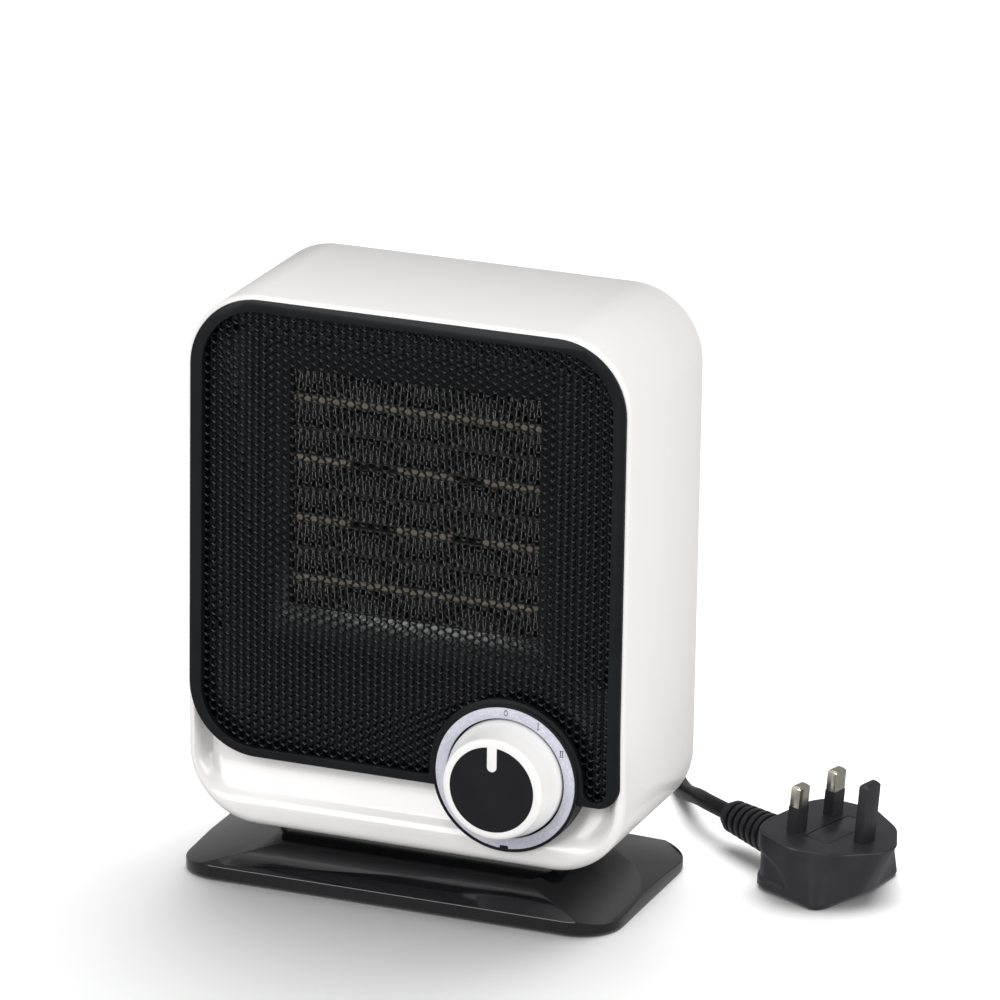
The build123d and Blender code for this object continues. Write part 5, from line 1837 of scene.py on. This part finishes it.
@dataclass
class Foot:
    """Glossy black foot: a low plate with sloping facets, and the neck that the case stands on.

    Attributes:
        low: its lowest corner.
        high: its highest corner, on top of the neck.
        corner: radius of the plate's corners.
        rim: height of the plate's upright rim.
        ridge: height of the flat top.
        ridge_inset: how far the flat top's front and back edges lie inside the rim.
        ridge_half: half the length of those edges.
        apex: how far from the middle the flat top ends.
        facet: how far from the middle the corner facets meet the rim.
        wall: thickness of the plate's wall, round the base plate.
        recess: depth of the recess for the base plate.
        edge: rounding of the facets' edges.
        neck_low: the neck's lowest corner.
        neck_high: its highest corner.
        neck_corner: radius of its corners.
    """

    low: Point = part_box("base_stand")[0]
    high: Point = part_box("base_stand")[1]
    corner: float = 0.016
    rim: float = 0.0054
    ridge: float = 0.0122
    ridge_inset: float = 0.0145
    ridge_half: float = 0.048
    apex: float = 0.057
    facet: float = 0.074
    wall: float = 0.0024
    recess: float = 0.0017
    edge: float = 0.0009
    neck_low: Point = (-0.056, -0.0157, 0.008)
    neck_high: Point = (0.056, 0.023, 0.0195)
    neck_corner: float = 0.005

    def slab(self, name: str, inset: float, low: float, high: float) -> Piece:
        """Model a plate with rounded corners.

        Args:
            name: the plate's name.
            inset: how far its outline is pulled in.
            low: its lower face.
            high: its upper face.

        Returns:
            The plate.
        """
        near = (self.low[0] + inset, self.low[1] + inset, low)
        slab = Bench.block(name, near, (self.high[0] - inset, self.high[1] - inset, high))
        Bench.round_block(slab, 2, self.corner - inset, 12)
        return slab

    def facets(self) -> list[tuple[Vector, Vector, Vector]]:
        """Three points of each sloping facet.

        Returns:
            The facets' points.
        """
        middle = (self.low[1] + self.high[1]) / 2
        apexes = [Vector((side * self.apex, middle, self.ridge)) for side in (-1, 1)]
        planes = []
        for back, edge in ((-1, self.low[1]), (1, self.high[1])):
            inner = edge - back * self.ridge_inset
            ends = [Vector((side * self.ridge_half, inner, self.ridge)) for side in (-1, 1)]
            planes.append((ends[0], ends[1], Vector((0, edge, self.rim))))
            for side, end, apex in zip((-1, 1), ends, apexes):
                planes.append((end, apex, Vector((side * self.facet, edge, self.rim))))
        for side, apex in zip((-1, 1), apexes):
            beside = apex + Vector((0, 10 * MM, 0))
            planes.append((apex, beside, Vector((side * self.high[0], middle, self.rim))))
        return planes

    def build(self, wardrobe: Wardrobe) -> None:
        """Make the foot.

        Args:
            wardrobe: dresses the pieces.
        """
        foot = self.slab("foot_moulding", 0.0, self.low[2], self.ridge)
        for first, second, third in self.facets():
            normal = (second - first).cross(third - first).normalized()
            normal *= math.copysign(1.0, normal.z)
            Bench.open_up(foot, "SELECT")
            bpy.ops.mesh.bisect(plane_co=first, plane_no=normal, use_fill=True, clear_outer=True)
            Bench.close_up()
        Bench.tidy(foot, 0.00002)
        Bench.soften(foot, self.edge, 12, segments=3)
        bottom = self.low[2]
        recess = self.slab("plate_recess", self.wall, bottom - MM, bottom + self.recess)
        Bench.combine(foot, recess, Joinery.CUT)
        neck = Bench.block("foot_neck", self.neck_low, self.neck_high)
        Bench.round_block(neck, 2, self.neck_corner, 6)
        Bench.combine(foot, neck, Joinery.FUSE)
        Bench.smooth(foot, 20)
        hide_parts("base_stand")
        wardrobe.dress(foot, Slot.BLACK_GLOSS_ABS, "heater")


class InnerWorks:
    """Clean castings of the back and of what shows through the mesh.

    Attributes:
        castings: node, name, slot and edge rounding of each piece.
    """

    castings = (
        ("air_duct", "air_duct_moulding", Slot.DUCT_BLACK, 0.0008),
        ("rear_cover", "back_cover", Slot.WHITE_ABS, 0.0004),
        ("fan_shroud", "fan_ring", Slot.DUCT_BLACK, 0.0003),
        ("duct_screws", "duct_screw_heads", Slot.BLACK_SCREW, 0.0002),
    )

    def build(self, wardrobe: Wardrobe) -> None:
        """Make the castings."""
        for node, name, slot, width in self.castings:
            wardrobe.dress(Bench.casting(node, name, width), slot, "heater")


def main() -> None:
    """Build the studio and every sub-assembly, in order."""
    logging.basicConfig(level=logging.INFO, format="%(name)s: %(message)s", force=True)
    studio = Studio()
    studio.place_camera()
    wardrobe = Wardrobe()
    Lead().build(wardrobe, Plug().build(wardrobe))
    bezel = Bezel()
    Casing().build(wardrobe, bezel.opening(BEZEL_FIT))
    bezel.build(wardrobe)
    Mesh().build(wardrobe)
    Dial().build(wardrobe)
    Fins().build(wardrobe)
    Foot().build(wardrobe)
    InnerWorks().build(wardrobe)
    for name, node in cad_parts.items():
        if not node.hide_render:
            wardrobe.dress_node(name)
    studio.build()


if __name__ == "__main__":
    main()
